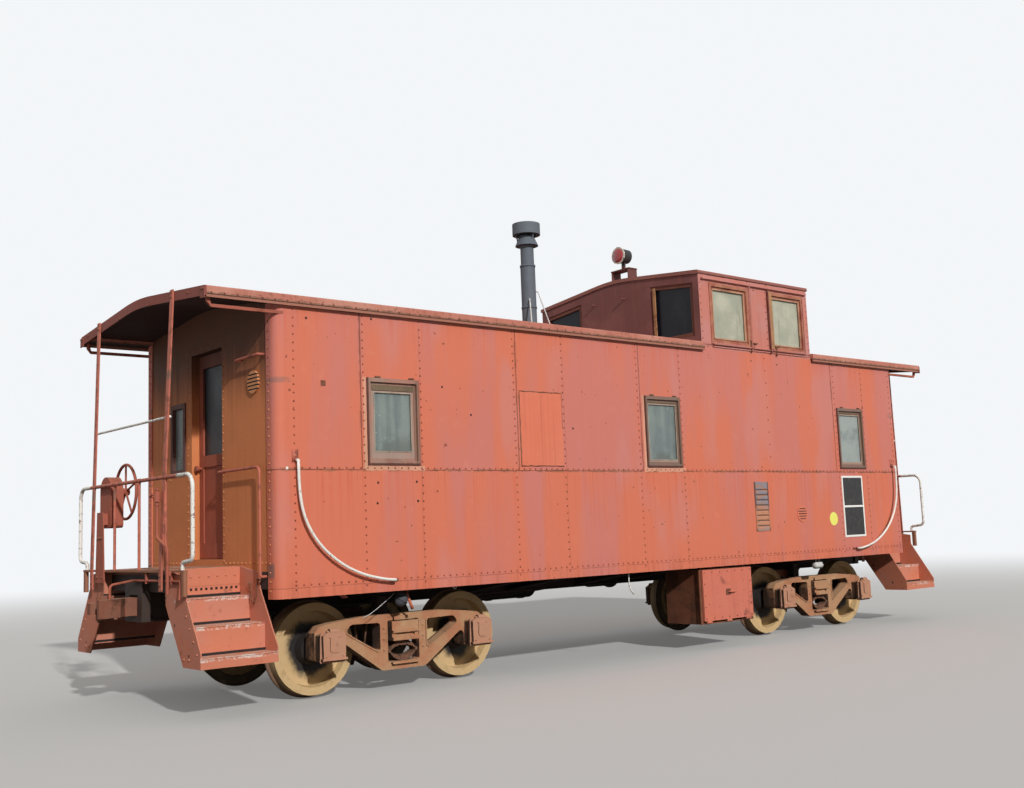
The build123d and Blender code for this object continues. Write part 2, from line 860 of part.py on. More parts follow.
def valve_pipe():
    """The pipe at end a with the cock's body, nut and short handle."""
    x, high, low = -valve_x, pipe_kink[0], pipe_kink[1]
    route = [(x, valve_y, valve_top), (x, valve_y, high), (x, pipe_foot_y, low), (x, pipe_foot_y, pipe_foot)]
    pipe = rod(route, valve_radius, [45, 45])
    body_low, body_high = valve_body
    pipe += disc((x, valve_y, body_low), "z", valve_body_radius, body_high - body_low)
    for level in (body_low - 2 * valve_radius, body_high + valve_radius):
        pipe += disc((x, valve_y, level), "z", valve_body_radius - 6, valve_radius)
    clip_low, clip_high, clip_half = pipe_clip
    pipe += block(-end_face, x, pipe_foot_y - clip_half, pipe_foot_y + clip_half, clip_low, clip_high)
    middle, out = (body_low + body_high) / 2, x - valve_handle
    handle = [(x, valve_y, middle), (out, valve_y, middle), (out, valve_y - valve_handle, middle + 20)]
    return pipe + rod(handle, valve_radius / 2, 12)


# Uncoupling lever: a bent rod under the deck's edge, hung in two eyes, with a link to the coupler
lever_x = end_face - 22
lever_level = 1106
lever_radius = 11
lever_inner_y = -40
lever_outer_y = -1060
lever_drop = 150
lever_link_x = end_face + 190
eye_places = (-350, -880)
eye_half = 8
eye_reach = 24
eye_wall = 4


def uncoupling_lever():
    """The lever at end a and the two eyes that it turns in."""
    x, link, shank_top = -lever_x, -lever_link_x, coupler_height + shank_high
    lever = rod([
        (x - 20, lever_outer_y - 10, lever_level - lever_drop), (x, lever_outer_y, lever_level),
        (x, lever_inner_y, lever_level), (link, lever_inner_y, lever_level - 30),
        (link, lever_inner_y, shank_top + flat_gap),
    ], lever_radius, [30, 40, 40])
    pieces = [lever]
    for y in eye_places:
        reach = lever_radius + eye_wall
        eye = block(x - reach, x + reach, y - eye_half, y + eye_half, lever_level - eye_reach,
                    deck_level - deck_edge_depth)
        hole = disc((x, y - eye_half - 1, lever_level), "y", lever_radius + flat_gap, 2 * eye_half + 2)
        pieces.append(eye - hole)
    return pieces


pipe_a = valve_pipe()
lever_pieces = uncoupling_lever()
save("valve_pipes", pipe_a, turned_end(pipe_a))
save("uncoupling_levers", *lever_pieces, *[turned_end(piece) for piece in lever_pieces])

# End doors: framed leaves with a glazed upper panel, a sunk lower panel and a knob
door_glass_low = 2250
door_glass_high = 3100
stile = 85
panel_sink = 14
panel_foot = 150
panel_head = 110
knob_level = 2130
knob_inset = 45
knob_radius = 28
knob_depth = 24
knob_reach = 40
hinge_strap = (6, 45)


def door():
    y0, y1 = door_middle - door_half + swing_gap, door_middle + door_half - swing_gap
    z0, z1 = deck_level + door_sill + swing_gap, door_high - swing_gap
    x0, x1 = -door_x0, -door_x0 + door_thick
    leaf = block(x0, x1, y0, y1, z0, z1)
    leaf -= block(x0 - 1, x1 + 1, y0 + stile, y1 - stile, door_glass_low, door_glass_high)
    leaf -= block(x0 - 1, x0 + panel_sink, y0 + stile, y1 - stile,
                  z0 + panel_foot, door_glass_low - panel_head)
    knob_y, knob_x = y1 - knob_inset, x0 - knob_reach
    leaf += disc((knob_x, knob_y, knob_level), "x", knob_radius / 2, knob_reach + 1)
    leaf += disc((knob_x + 2, knob_y, knob_level), "x", knob_radius, -knob_depth)
    middle = (x0 + x1) / 2
    glass = block(middle - glass_depth / 2, middle + glass_depth / 2, y0 + stile, y1 - stile,
                  door_glass_low, door_glass_high)
    for level in hinge_levels:
        low, high = level - hinge_half, level + hinge_half
        barrel = disc((-hinge_x, hinge_y, low), "z", hinge_barrel, 2 * hinge_half)
        barrel += block(x1, x1 + hinge_strap[0], hinge_y, hinge_y + hinge_strap[1], low, high)
        leaf += barrel - disc((-hinge_x, hinge_y, low - 1), "z", hinge_pin + running_gap, 2 * hinge_half + 2)
    return leaf, glass


door_a, door_pane_a = door()
save("door_a", door_a)
save("door_glass_a", door_pane_a)
save("door_b", turned_end(door_a))
save("door_glass_b", turned_end(door_pane_a))

# Grab irons: long curved ones at the body corners, straight ones at the end walls
iron_radius = 13
iron_stand = 62
iron_foot = (60, 110, 8)
curved_iron = ((4631, 2097), (4631, 1900), (4575, 1570), (4250, 1220), (3960, 1070), (3500, 1016))
end_iron_stand = 60
end_iron_inset = 206
end_iron_y = half_width - end_iron_inset
upper_iron = (-760, -end_iron_y, 3045)
lower_iron = (-400, -end_iron_y, 2055, 1110)


def curved_grab():
    """The near iron at end a: a bolted foot at each end and a sweep down the corner."""
    y = -half_width - iron_stand
    first, last = curved_iron[0], curved_iron[-1]
    points = [(-first[0], -half_width, first[1])]
    points += [(-x, y, z) for x, z in curved_iron]
    points += [(-last[0], -half_width, last[1])]
    iron = rod(points, iron_radius, [24, 70, 350, 500, 500, 24])
    wide, high, thick = iron_foot
    return iron + block(-first[0] - wide / 2, -first[0] + wide / 2, -half_width, -half_width - thick,
                        first[1] - iron_radius, first[1] - iron_radius + high)


def end_grabs():
    face = -end_wall_face
    x = face - end_iron_stand
    y0, y1, z = upper_iron
    upper = rod([(face, y0, z), (x, y0, z), (x, y1, z), (face, y1, z)], iron_radius, 24)
    y0, y1, high, low = lower_iron
    lower = rod([(face, y0, high), (x, y0, high), (x, y1, high), (x, y1, low), (face, y1, low)],
                iron_radius, [24, 70, 24])
    return [upper, lower]


irons = both_sides(curved_grab()) + end_grabs()
save("grab_irons", *irons, *[turned_end(piece) for piece in irons])

# Chimney: flashing, two lengths of pipe, cone skirt, struts and cap drum
chimney_x = -1340
chimney_y = -800
chimney_top = 4810
pipe_radius = 74
pipe_lap = 8
pipe_lap_level = 4340
pipe_end_drop = 190
flash_spread = 70
flash_height = 70
cap_radius = 155
cap_height = 126
cap_wall = 45
cap_lid = 20
skirt_radius = 128
skirt_drop = (250, 140)
strut_radius = 8
strut_angles = (0.5, 2.6, 4.7)


def chimney():
    base = main_roof_height(chimney_y)
    at = (chimney_x, chimney_y)
    low = base - roof_depth / 2
    whole = disc((*at, low), "z", pipe_radius, chimney_top - pipe_end_drop - low)
    whole += disc((*at, low), "z", pipe_radius + pipe_lap, pipe_lap_level - low)
    bore = pipe_radius - 1
    whole += revolved("z", (*at, chimney_top), [
        (-skirt_drop[0], bore), (-skirt_drop[0], skirt_radius), (-skirt_drop[0] + 6, skirt_radius),
        (-skirt_drop[1], pipe_radius + pipe_lap), (-skirt_drop[1], bore),
    ])
    whole += revolved("z", (*at, chimney_top), [
        (-cap_height, cap_radius - cap_wall), (-cap_height, cap_radius), (0, cap_radius), (0, 0),
        (-cap_lid, 0), (-cap_lid, cap_radius - cap_wall),
    ])
    whole += revolved("z", (*at, base), [
        (0, bore), (0, pipe_radius + flash_spread), (flash_height / 2, pipe_radius + flash_spread - 10),
        (flash_height, pipe_radius + pipe_lap), (flash_height, bore),
    ])
    for angle in strut_angles:
        places = ((pipe_radius + 26, pipe_end_drop + 10), (cap_radius - cap_wall + 10, cap_height - 20))
        whole += rod([
            (at[0] + reach * math.cos(angle), at[1] + reach * math.sin(angle), chimney_top - drop)
            for reach, drop in places
        ], strut_radius)
    return whole - (roof_a & whole)


save("chimney", chimney())

# Marker light on the cupola roof: a lamp on a stool with two plate legs
lamp_inset = 90
lamp_x = cupola_x0 + lamp_inset
lamp_y = -68
lamp_lift = 459
lamp_level = cupola_eave + lamp_lift
lamp_radius = 110
lamp_front = 60
lamp_length = 150
lens_radius = 92
lens_bulge = 24
stool_top = 278
stool_thick = 14
stool_half = 160
stool_leg = 12
stool_leg_inset = 10
stool_front = 40
stool_back = 120
post_half = 25
post_length = 96


def marker_light():
    x, y, z = lamp_x, lamp_y, lamp_level
    shoulder = lamp_radius - 14
    lamp = revolved("x", (x, y, z), [
        (-lamp_front, 0), (-lamp_front, lamp_radius), (-lamp_front + 15, lamp_radius),
        (-lamp_front + 40, shoulder), (lamp_length - 40, shoulder - 6), (lamp_length, 40), (lamp_length, 0),
    ])
    top = cupola_eave + stool_top
    lamp += block(x - stool_front, x + stool_back, y - stool_half, y + stool_half, top - stool_thick, top)
    lamp += block(x + post_half, x + 2 * post_half, y - post_half, y + post_half, top, top + post_length)
    low = cupola_roof_height(y) - cupola_roof_depth
    for side in sides:
        edge = y + side * (stool_half - stool_leg_inset)
        lamp += block(x - stool_front, x + stool_back, edge, edge - side * stool_leg, low, top - stool_thick)
    return lamp - cupola_roof


lens = revolved("x", (lamp_x, lamp_y, lamp_level), [
    (-lamp_front, 0), (-lamp_front, lens_radius), (-lamp_front - lens_bulge / 2, lens_radius - 22),
    (-lamp_front - lens_bulge, 0),
])
save("marker_light", marker_light())
save("marker_lens", lens)

# Battery box under the near side: open frame with a drop door hinged along its foot
box_x0 = 602
box_length = 881
box_x1 = box_x0 + box_length
box_low = 272
box_height = 619
box_high = box_low + box_height
box_inset = 16
box_depth = 570
box_y0 = box_inset - half_width
box_y1 = box_y0 + box_depth
box_wall = 12
box_flange = 24
lid_thick = 26
lid_gap = 5
lid_skin = 8
lid_edge = 6
lid_rim = 40
lid_foot = 36
lid_pin = 7
lid_barrel = 12
lid_lift = 18
lid_pivot = (box_y0 + lid_barrel, box_low + lid_lift)
lid_hinge_inset = 90
lid_hinge_places = (box_x0 + lid_hinge_inset, (box_x0 + box_x1) / 2, box_x1 - lid_hinge_inset)
lid_hinge_half = 40
lid_lug = 12
hanger_half = 25
hanger_inset = 60
hanger_edge = 40
latch_level = 620
latch_reach = 30
latch_length = 110
latch_radius = 8


def battery_box():
    """An open-fronted steel box with an end flange, on four straps, with hinge lugs along its foot."""
    x0, x1, y0, y1 = box_x0, box_x1, box_y0 + lid_thick + lid_gap, box_y1
    shell = block(x0, x1, y0, y1, box_low, box_high)
    shell -= block(x0 + box_wall, x1 - box_wall, y0 - 1, y1 - box_wall,
                   box_low + box_wall, box_high - box_wall)
    for x, out in ((x0, -box_flange), (x1, box_flange)):
        shell += block(x, x + out, y0, y0 + box_wall, box_low, box_high)
    for x in (x0 + hanger_inset, x1 - hanger_inset):
        front, back = y0 + hanger_edge, y1 - hanger_edge
        shell += block(x - hanger_half, x + hanger_half, front, front + box_wall, box_high, side_sill_low)
        shell += block(x - hanger_half, x + hanger_half, back - box_wall, back, box_high, sill_top)
    y, z = lid_pivot
    for x in lid_hinge_places:
        reach = lid_hinge_half + lid_lug
        shell += disc((x - reach, y, z), "x", lid_pin, 2 * reach)
        for low in (x - reach, x + lid_hinge_half + flat_gap):
            shell += prism("x", [(y - lid_pin, z - lid_pin), (y0 + 1, z - lid_lift), (y0 + 1, z + lid_lift),
                                 (y - lid_pin, z + lid_pin)], low, low + lid_lug - flat_gap)
    return shell


def battery_door():
    """A pan-shaped drop door with three hinge barrels and a turned handle."""
    x0, x1, y0 = box_x0 + lid_edge, box_x1 - lid_edge, box_y0
    low, high = box_low + lid_foot, box_high - lid_edge
    door = block(x0, x1, y0, y0 + lid_thick, low, high)
    door -= block(x0 + lid_rim, x1 - lid_rim, y0 + lid_skin, y0 + lid_thick + 1,
                  low + lid_rim, high - lid_rim)
    y, z = lid_pivot
    for x in lid_hinge_places:
        barrel = disc((x - lid_hinge_half, y, z), "x", lid_barrel, 2 * lid_hinge_half)
        barrel += block(x - lid_hinge_half, x + lid_hinge_half, y0, y0 + lid_skin, z, low + lid_rim / 2)
        bore = disc((x - lid_hinge_half - 1, y, z), "x", lid_pin + running_gap, 2 * lid_hinge_half + 2)
        door += barrel - bore
    middle = (x0 + x1) / 2
    return door + rod([(middle, y0 + lid_skin / 2, latch_level), (middle, y0 - latch_reach, latch_level),
                       (middle + latch_length, y0 - latch_reach, latch_level)], latch_radius, 12)


save("battery_box", battery_box())
save("battery_door", battery_door())

# Air reservoir and brake cylinder on the far side of the centre sill
tank_x = -700
tank_y = 620
tank_level = 800
tank_radius = 190
tank_half = 430
tank_dish = 60
strap_half = 25
strap_thick = 8
strap_places = (-250, 250)


def reservoir():
    tank = revolved("x", (tank_x, tank_y, tank_level), [
        (-tank_half, 0), (tank_dish / 3 - tank_half, tank_radius / 2), (tank_dish - tank_half, tank_radius),
        (tank_half - tank_dish, tank_radius), (tank_half - tank_dish / 3, tank_radius / 2), (tank_half, 0),
    ])
    for place in strap_places:
        x, reach = tank_x + place, tank_radius + strap_thick
        strap = disc((x - strap_half, tank_y, tank_level), "x", reach, 2 * strap_half)
        strap += block(x - strap_half, x + strap_half, tank_y - reach, tank_y + reach, tank_level, sill_top)
        strap -= block(x - strap_half - 1, x + strap_half + 1, tank_y - tank_radius, tank_y + tank_radius,
                       tank_level, sill_top + 1)
        tank += strap
    return tank


cylinder_x = 850
cylinder_y = 560
cylinder_level = 830
cylinder_radius = 160
cylinder_flange = 185
cylinder_half = 200
push_rod = 26
push_reach = 520
foot_half = 30
foot_width = 120
foot_places = (-130, 90)


def brake_cylinder():
    head, mouth = -cylinder_half - 30, cylinder_half - 50
    cylinder = revolved("x", (cylinder_x, cylinder_y, cylinder_level), [
        (head, 0), (head, cylinder_radius - 10), (-cylinder_half, cylinder_radius), (mouth, cylinder_radius),
        (mouth + 10, cylinder_flange), (mouth + 35, cylinder_flange), (mouth + 35, 60), (mouth + 110, 40),
        (mouth + 110, push_rod), (push_reach, push_rod), (push_reach, 0),
    ])
    for place in foot_places:
        x = cylinder_x + place
        cylinder += block(x - foot_half, x + foot_half, cylinder_y - foot_width, cylinder_y + foot_width,
                          cylinder_level, sill_top)
    return cylinder


save("air_reservoir", reservoir())
save("brake_cylinder", brake_cylinder())

# Couplers: shank in the sill's pocket, head with a guard arm, and a swinging knuckle
head_x = end_face + coupler_reach
shank_half = 60
neck_x = end_face + 60
knuckle_pivot = (head_x - 95, 95)
pin_radius = 21
pin_length = 260
pin_drop = 125
lug_depth = 30
lug_lift = 25
lug_root = (head_x - 200, 30, 150)
knuckle_half = 50


def coupler():
    """The coupler at end a."""
    z0, z1 = coupler_height - shank_high, coupler_height + shank_high
    points = [
        (-shank_end, -shank_half), (-neck_x, -shank_half), (190 - head_x, -150), (130 - head_x, -165),
        (-15 - head_x, -190), (-15 - head_x, -140), (60 - head_x, -95), (90 - head_x, -20),
        (150 - head_x, 30), (165 - head_x, 140), (200 - head_x, 150), (-neck_x, shank_half),
        (-shank_end, shank_half),
    ]
    head = prism("z", points, z0, z1)
    x, y = -knuckle_pivot[0], knuckle_pivot[1]
    root, inner, outer = lug_root
    lug = [(-root, inner), (-root, outer), (x, y + 50), (x - 40, y), (x, y - 50)]
    for low, high in ((z1 - lug_depth, z1 + lug_lift), (z0 - lug_lift, z0 + lug_depth)):
        head += prism("z", lug, low, high, [0, 0, 30, 30, 30])
    bore_low = z0 - lug_lift - 1
    return head - disc((x, y, bore_low), "z", pin_radius + running_gap, 2 * (coupler_height - bore_low))


def knuckle():
    """The hooked knuckle at end a with its pin."""
    x, y = -knuckle_pivot[0], knuckle_pivot[1]
    points = [
        (x + 45, y + 35), (x - 60, y + 55), (x - 105, y + 20), (x - 105, y - 60), (x - 60, y - 85),
        (x - 45, y - 70), (x - 50, y - 35), (x + 30, y - 40),
    ]
    half = knuckle_half - flat_gap
    hand = prism("z", points, coupler_height - half, coupler_height + half, [12, 30, 30, 25, 8, 8, 10, 10])
    return hand + disc((x, y, coupler_height - pin_drop), "z", pin_radius, pin_length)


coupler_a = coupler()
knuckle_a = knuckle()
save("coupler_a", coupler_a)
save("coupler_b", turned_end(coupler_a))
save("knuckle_a", knuckle_a)
save("knuckle_b", turned_end(knuckle_a))

# Side fittings: louvre, round vents and data plates
fitting_proud = 8
louvre_x = (1615, 1880)
louvre_z = (1300, 1893)
louvre_rim = 25
louvre_pitch = 62
louvre_mouth = 34
side_vent = (2540, 1493)
vent_radius = 103
end_vent = (-1005, 2822)
end_vent_proud = 18
vent_slots = (-66, -33, 0, 33, 66)
vent_slot = 12
plate_x = (3430, 3899)
plate_z = (1170, 1968)
plate_proud = 6
plate_sink = 3
plate_rim = 25


def side_louvre():
    x0, x1 = louvre_x
    low, high = louvre_z
    face = -half_width - fitting_proud
    louvre = block(x0, x1, face, -half_width, low, high)
    count = int((high - low - 2 * louvre_rim) / louvre_pitch)
    for index in range(count):
        level = low + louvre_rim + louvre_pitch * (index + 0.2)
        high_edge = level + louvre_mouth
        slot = [(face - 1, level), (face - 1, high_edge), (face + fitting_proud - 2, high_edge)]
        louvre -= prism("x", slot, x0 + louvre_rim, x1 - louvre_rim)
    return louvre


def slotted_vent():
    """The round vent on the end wall at end a, with level slots across it."""
    y, z = end_vent
    vent = disc((-end_wall_face, y, z), "x", vent_radius, -end_vent_proud)
    for place in vent_slots:
        reach = math.sqrt((vent_radius - vent_slot) ** 2 - place ** 2)
        vent -= block(-end_wall_face - end_vent_proud - 1, -end_wall_face - end_vent_proud / 2, y - reach,
                      y + reach, z + place - vent_slot / 2, z + place + vent_slot / 2)
    return vent


def data_plate():
    """A plate with two sunk panels."""
    x0, x1 = plate_x
    low, high = plate_z
    middle = (low + high) / 2
    face = -half_width - plate_proud
    plate = block(x0, x1, face, -half_width, low, high)
    for z0, z1 in ((low + plate_rim, middle - plate_rim / 2), (middle + plate_rim / 2, high - plate_rim)):
        plate -= block(x0 + plate_rim, x1 - plate_rim, face - 1, face + plate_sink, z0, z1)
    return plate


side_disc = disc((side_vent[0], -half_width, side_vent[1]), "y", vent_radius, -fitting_proud)
vent_a = slotted_vent()
save("vents", side_louvre(), side_disc, vent_a, turned_end(vent_a))
near_plate = data_plate()
save("data_plates", near_plate, turned_end(near_plate))

# Wheelsets: one turned axle with two flanged wheels
rim_thick = 74
hub_radius = 150
web_thick = 26
axle_end = 1118


def wheelset(x):
    """Half of the turned profile from the middle out, then mirrored to the other wheel."""
    back = back_to_back / 2
    face = back + tyre_width
    inner_rim = wheel_radius - rim_thick
    half = [
        (0, axle_radius - 6), (back - 60, axle_radius), (back - 20, hub_radius), (back + 25, hub_radius + 10),
        (back + 40, inner_rim - 10), (back, inner_rim), (back, wheel_radius + flange_depth - 10),
        (back + 10, wheel_radius + flange_depth), (back + 20, wheel_radius + flange_depth - 2),
        (back + 36, wheel_radius + 2), (back + 50, wheel_radius), (face, wheel_radius - 4),
        (face, inner_rim), (back + 40 + web_thick, inner_rim - 14), (back + 58, hub_radius + 6),
        (face - 10, hub_radius - 20), (face - 10, axle_radius), (face + 16, axle_radius),
        (face + 24, journal_radius), (axle_end - 16, journal_radius), (axle_end - 14, journal_radius + 8),
        (axle_end, journal_radius + 6), (axle_end, 0),
    ]
    profile = half + [(-along, radius) for along, radius in reversed(half[1:])]
    return revolved("y", (x, 0, journal_height), profile)


# Truck side frames: a cast truss with beaded windows, a spring opening and two journal boxes
frame_inner = 915
frame_outer = 1041
arm = wheelbase / 2
box_half = 122
box_top = 572
box_foot = 322
box_out = 1150
box_neck = 40
collar_half = 134
collar_depth = 22
lid_out = 1187
lid_low = 336
lid_high = 560
lid_half = 112
boss_level = 588
boss_half = 46
hinge_boss = 26
oil_lip = 20
column_in = 178
column_out = 268
chord_low = 174
seat_level = 246
chord_under = 628
bead_width = 12
bead_proud = 10
chord_pad = (120, 26)
seat_lip = (150, 38)


def journal_box(x):
    """A box with a flared collar, a raised lid, the lid's hinge boss and its oil lip."""
    body = [(x - box_half, box_foot), (x + box_half, box_foot), (x + box_half - 8, box_top),
            (x - box_half + 8, box_top)]
    box = prism("y", body, -box_out, -frame_inner + box_neck, [40, 40, 30, 30])
    collar = [(x - collar_half, box_foot - 8), (x + collar_half, box_foot - 8),
              (x + collar_half - 8, box_top + 10), (x - collar_half + 8, box_top + 10)]
    box += prism("y", collar, -box_out - 1, -box_out + collar_depth, [20, 20, 30, 30])
    lid = [(x - lid_half, lid_low), (x + lid_half, lid_low), (x + lid_half + 6, lid_high),
           (x + lid_half / 2, box_top + 14), (x - lid_half / 2, box_top + 14), (x - lid_half - 6, lid_high)]
    box += prism("y", lid, -lid_out, -box_out, [16, 16, 20, 20, 20, 20])
    pad = [(x - boss_half - 8, lid_low + 70), (x + boss_half + 8, lid_low + 70),
           (x + boss_half, lid_high - 20), (x - boss_half, lid_high - 20)]
    box += prism("y", pad, -lid_out - 9, -lid_out, [30, 30, 20, 20])
    box += disc((x - boss_half, -box_out - hinge_boss / 2, boss_level), "x", hinge_boss, 2 * boss_half)
    return box + block(x - lid_half - 14, x + lid_half + 14, -lid_out - 8, -box_out,
                       lid_low, lid_low + oil_lip)


def side_frame():
    """Near side frame of a truck centred on X = 0, with rounded windows and journal boxes."""
    right = [
        (430, 686), (760, 655), (905, 632), (arm + box_half, box_top), (arm + box_half, box_foot),
        (arm - box_half, box_foot), (arm - box_half, 505), (245, chord_low),
    ]
    outline = right + [(-x, z) for x, z in reversed(right)]
    radii = [200, 500, 60, 20, 30, 30, 40, 70]
    frame = prism("y", outline, -frame_outer, -frame_inner, radii + radii[::-1])
    corners = [30, 45, 30, 40, 22]
    for side in sides:
        window = [(side * column_out, 615), (side * 585, 622), (side * 640, 560), (side * 545, 500),
                  (side * column_out, 345)]
        bead = offset(outline_face("y", window, -frame_outer - bead_proud, corners), amount=bead_width)
        frame += extrude(bead, amount=bead_proud + 1, dir=(0, 1, 0))
        frame -= prism("y", window, -frame_outer - bead_proud - 1, -frame_inner + 1, corners)
        frame += journal_box(side * arm)
        bore = (side * arm, -box_out + 20, journal_height)
        frame -= disc(bore, "y", journal_radius + 16, 60)
        frame -= disc(bore, "y", journal_radius + running_gap, 400)
    opening = [
        (-column_in, seat_level), (column_in, seat_level),
        (column_in, chord_under), (-column_in, chord_under),
    ]
    frame -= prism("y", opening, -frame_outer - bead_proud - 1, -frame_inner + 1, 20)
    half, depth = chord_pad
    frame += prism("y", [(-half, chord_under), (half, chord_under), (half, chord_under + 40),
                         (-half, chord_under + 40)], -frame_outer - depth, -frame_outer, [12, 12, 18, 18])
    half, depth = seat_lip
    return frame + prism("y", [(-half, seat_level - 22), (half, seat_level - 22), (half, seat_level),
                               (-half, seat_level)], -frame_outer - depth, -frame_outer, 8)


# Truck bolsters: a box beam through both side frames, with the centre bowl and side bearings
bolster_low = 440
bolster_top = 618
bolster_end_half = 150
bolster_reach = 1075
bolster_neck = 230
bowl_lip = 30
bowl_depth = 20
ledge_depth = 20
ledge_bands = ((440, 470), (512, 534))
end_slot = (478, 502, 105)


def truck_bolster():
    reach, belly = bolster_reach - bolster_neck, bolster_low - 40
    top = centre_plate_level - bowl_lip
    half = [
        (bolster_reach, bolster_low), (bolster_reach, bolster_top), (reach, bolster_top), (330, top),
    ]
    points = [(560, belly), (reach, bolster_low)] + half
    beam = prism("x", points + [(-y, z) for y, z in reversed(points)], -bolster_end_half, bolster_end_half)
    beam += disc((0, 0, top), "z", centre_plate_radius + bowl_lip, bowl_lip + bowl_depth)
    for side in sides:
        y = side * side_bearing_y
        beam += block(-side_bearing_half, side_bearing_half, y - side_bearing_half - 20,
                      y + side_bearing_half + 20, bolster_top, side_bearing_level)
        face = side * bolster_reach
        for low, high in ledge_bands:
            beam += block(-bolster_end_half, bolster_end_half, face, face + side * ledge_depth, low, high)
        low, high, width = end_slot
        beam -= block(-width, width, face - side * ledge_depth, face + side, low, high)
    return beam - disc((0, 0, centre_plate_level), "z", centre_plate_radius + swing_gap, bowl_depth + 1)


# Leaf springs: full elliptic packs between the frame's seat and the bolster
leaf_half = 168
leaf_eye = 16
leaf_count = 4
leaf_thick = 10
leaf_step = 0.17
leaf_width = 100
band_half = 34


def leaf_spring(y):
    """Two bowed packs of leaves, each leaf shorter than the last, with end eyes and middle bands."""
    middle = (seat_level + bolster_low) / 2
    high = (bolster_low - seat_level) / 2
    reach = leaf_half - leaf_eye
    bow = (reach ** 2 + high ** 2) / (2 * high)
    spread = math.asin(reach / bow)
    start = y - leaf_width / 2
    spring = disc((-reach, start, middle), "y", leaf_eye, leaf_width)
    spring += disc((reach, start, middle), "y", leaf_eye, leaf_width)
    for side in sides:
        centre = middle + side * (high - bow)
        for index in range(leaf_count):
            outer, inner = bow - index * leaf_thick, bow - (index + 1) * leaf_thick
            angle = spread - index * leaf_step
            arcs = []
            for radius in (outer, inner):
                end_x, end_z = radius * math.sin(angle), radius * math.cos(angle)
                places = ((-end_x, end_z), (0, radius), (end_x, end_z))
                arcs.append(ThreePointArc(*[(x, start, centre + side * z) for x, z in places]))
            edges = [arcs[0], Line(arcs[0] @ 1, arcs[1] @ 1), arcs[1], Line(arcs[1] @ 0, arcs[0] @ 0)]
            spring += extrude(make_face(Curve() + edges), amount=leaf_width, dir=(0, 1, 0))
        pack = high - leaf_count * leaf_thick
        spring += block(-band_half, band_half, start - 4, start + leaf_width + 4,
                        middle + side * (pack - 12), middle + side * high)
    return spring


# Brake beams inboard of the axles, with a shoe for each wheel, hung from the side frames
shoe_offset = 82
shoe_y = back_to_back / 2 + shoe_offset
shoe_half = 42
shoe_thick = 44
beam_level = 350
beam_radius = 22
truss_radius = 16
truss_bow = 130
hanger_level = 650
hanger_radius = 13


def brake_beam(side):
    x = side * (arm - wheel_radius - shoe_thick - 2)
    back = x - side * 24
    axle_x = side * arm
    beam = rod([(back, -shoe_y, beam_level), (back, shoe_y, beam_level)], beam_radius)
    beam += rod([(back, -640, beam_level), (back - side * truss_bow, 0, beam_level), (back, 640, beam_level)],
                truss_radius, 40)
    for edge in sides:
        y = edge * shoe_y
        y0, y1, tread = y - shoe_half, y + shoe_half, wheel_radius + swing_gap
        head = block(back - side * 24, x + side * 22, y0, y1, beam_level - 60, beam_level + 60)
        ring = disc((axle_x, y0, journal_height), "y", tread + shoe_thick, 2 * shoe_half)
        ring &= block(x - 60, x + 120, y0, y1, beam_level - 120, beam_level + 120)
        beam += head + ring - disc((axle_x, y0 - 1, journal_height), "y", tread, 2 * shoe_half + 2)
        beam += rod([(x, y, beam_level), (x, y, hanger_level)], hanger_radius)
        beam += rod([(x, y, hanger_level), (x, edge * frame_inner, hanger_level)], hanger_radius)
    return beam


near_frame = side_frame()
near_spring = leaf_spring(-(frame_inner + frame_outer) / 2)
beams = [brake_beam(side) for side in sides]
truck_beam = truck_bolster()
for end, name in ends:
    shift = Pos(end * truck_centre, 0, 0)
    save(f"truck_{name}_side_frames", *[shift * piece for piece in both_sides(near_frame)])
    save(f"truck_{name}_bolster", shift * truck_beam)
    save(f"truck_{name}_springs", *[shift * piece for piece in both_sides(near_spring)])
    save(f"truck_{name}_brakes", *[shift * beam for beam in beams])
    for number, side in enumerate(sides, 1):
        save(f"wheelset_{name}{number}", wheelset(end * truck_centre + side * arm))
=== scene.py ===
import bmesh
import bpy
import math
import numpy as np
from mathutils import Matrix, Vector


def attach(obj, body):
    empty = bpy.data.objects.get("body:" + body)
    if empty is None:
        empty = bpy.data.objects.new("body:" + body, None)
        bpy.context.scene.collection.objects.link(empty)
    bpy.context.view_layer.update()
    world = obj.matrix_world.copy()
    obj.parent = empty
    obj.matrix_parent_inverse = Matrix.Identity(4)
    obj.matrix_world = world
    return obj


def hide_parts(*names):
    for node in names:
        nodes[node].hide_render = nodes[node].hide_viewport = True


# Looks for a weathered steel caboose. Metres throughout: X along the car, near side at -Y,
# and z = 0 at the wheel flange tips. Levels in the dictionaries are above the rail heads,
# which are railTop higher, and addPiece lifts what is built to them.

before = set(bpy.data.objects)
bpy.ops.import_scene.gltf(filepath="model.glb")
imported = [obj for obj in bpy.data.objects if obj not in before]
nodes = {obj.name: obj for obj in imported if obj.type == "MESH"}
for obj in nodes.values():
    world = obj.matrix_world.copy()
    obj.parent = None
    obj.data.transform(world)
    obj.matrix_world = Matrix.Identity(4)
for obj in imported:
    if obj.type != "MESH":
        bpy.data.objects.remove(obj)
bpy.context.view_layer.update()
railTop = 0.0254
print("frame loaded:", len(nodes), "nodes")


# Camera, light and floor

cameraLook = {
    "place": (-9.5795, -10.2673, 1.4180 + railTop),
    "yaw": 0.6983,  # from +Y towards +X
    "pitch": 0.1269,
    "roll": -0.0387,
    "focal": 1150.3,  # in pixels, of a picture this wide
    "width": 1024,
    "middleRow": 394,
    "axisRow": 384,
    "sensor": 36.0,
    "farthest": 500.0,
}


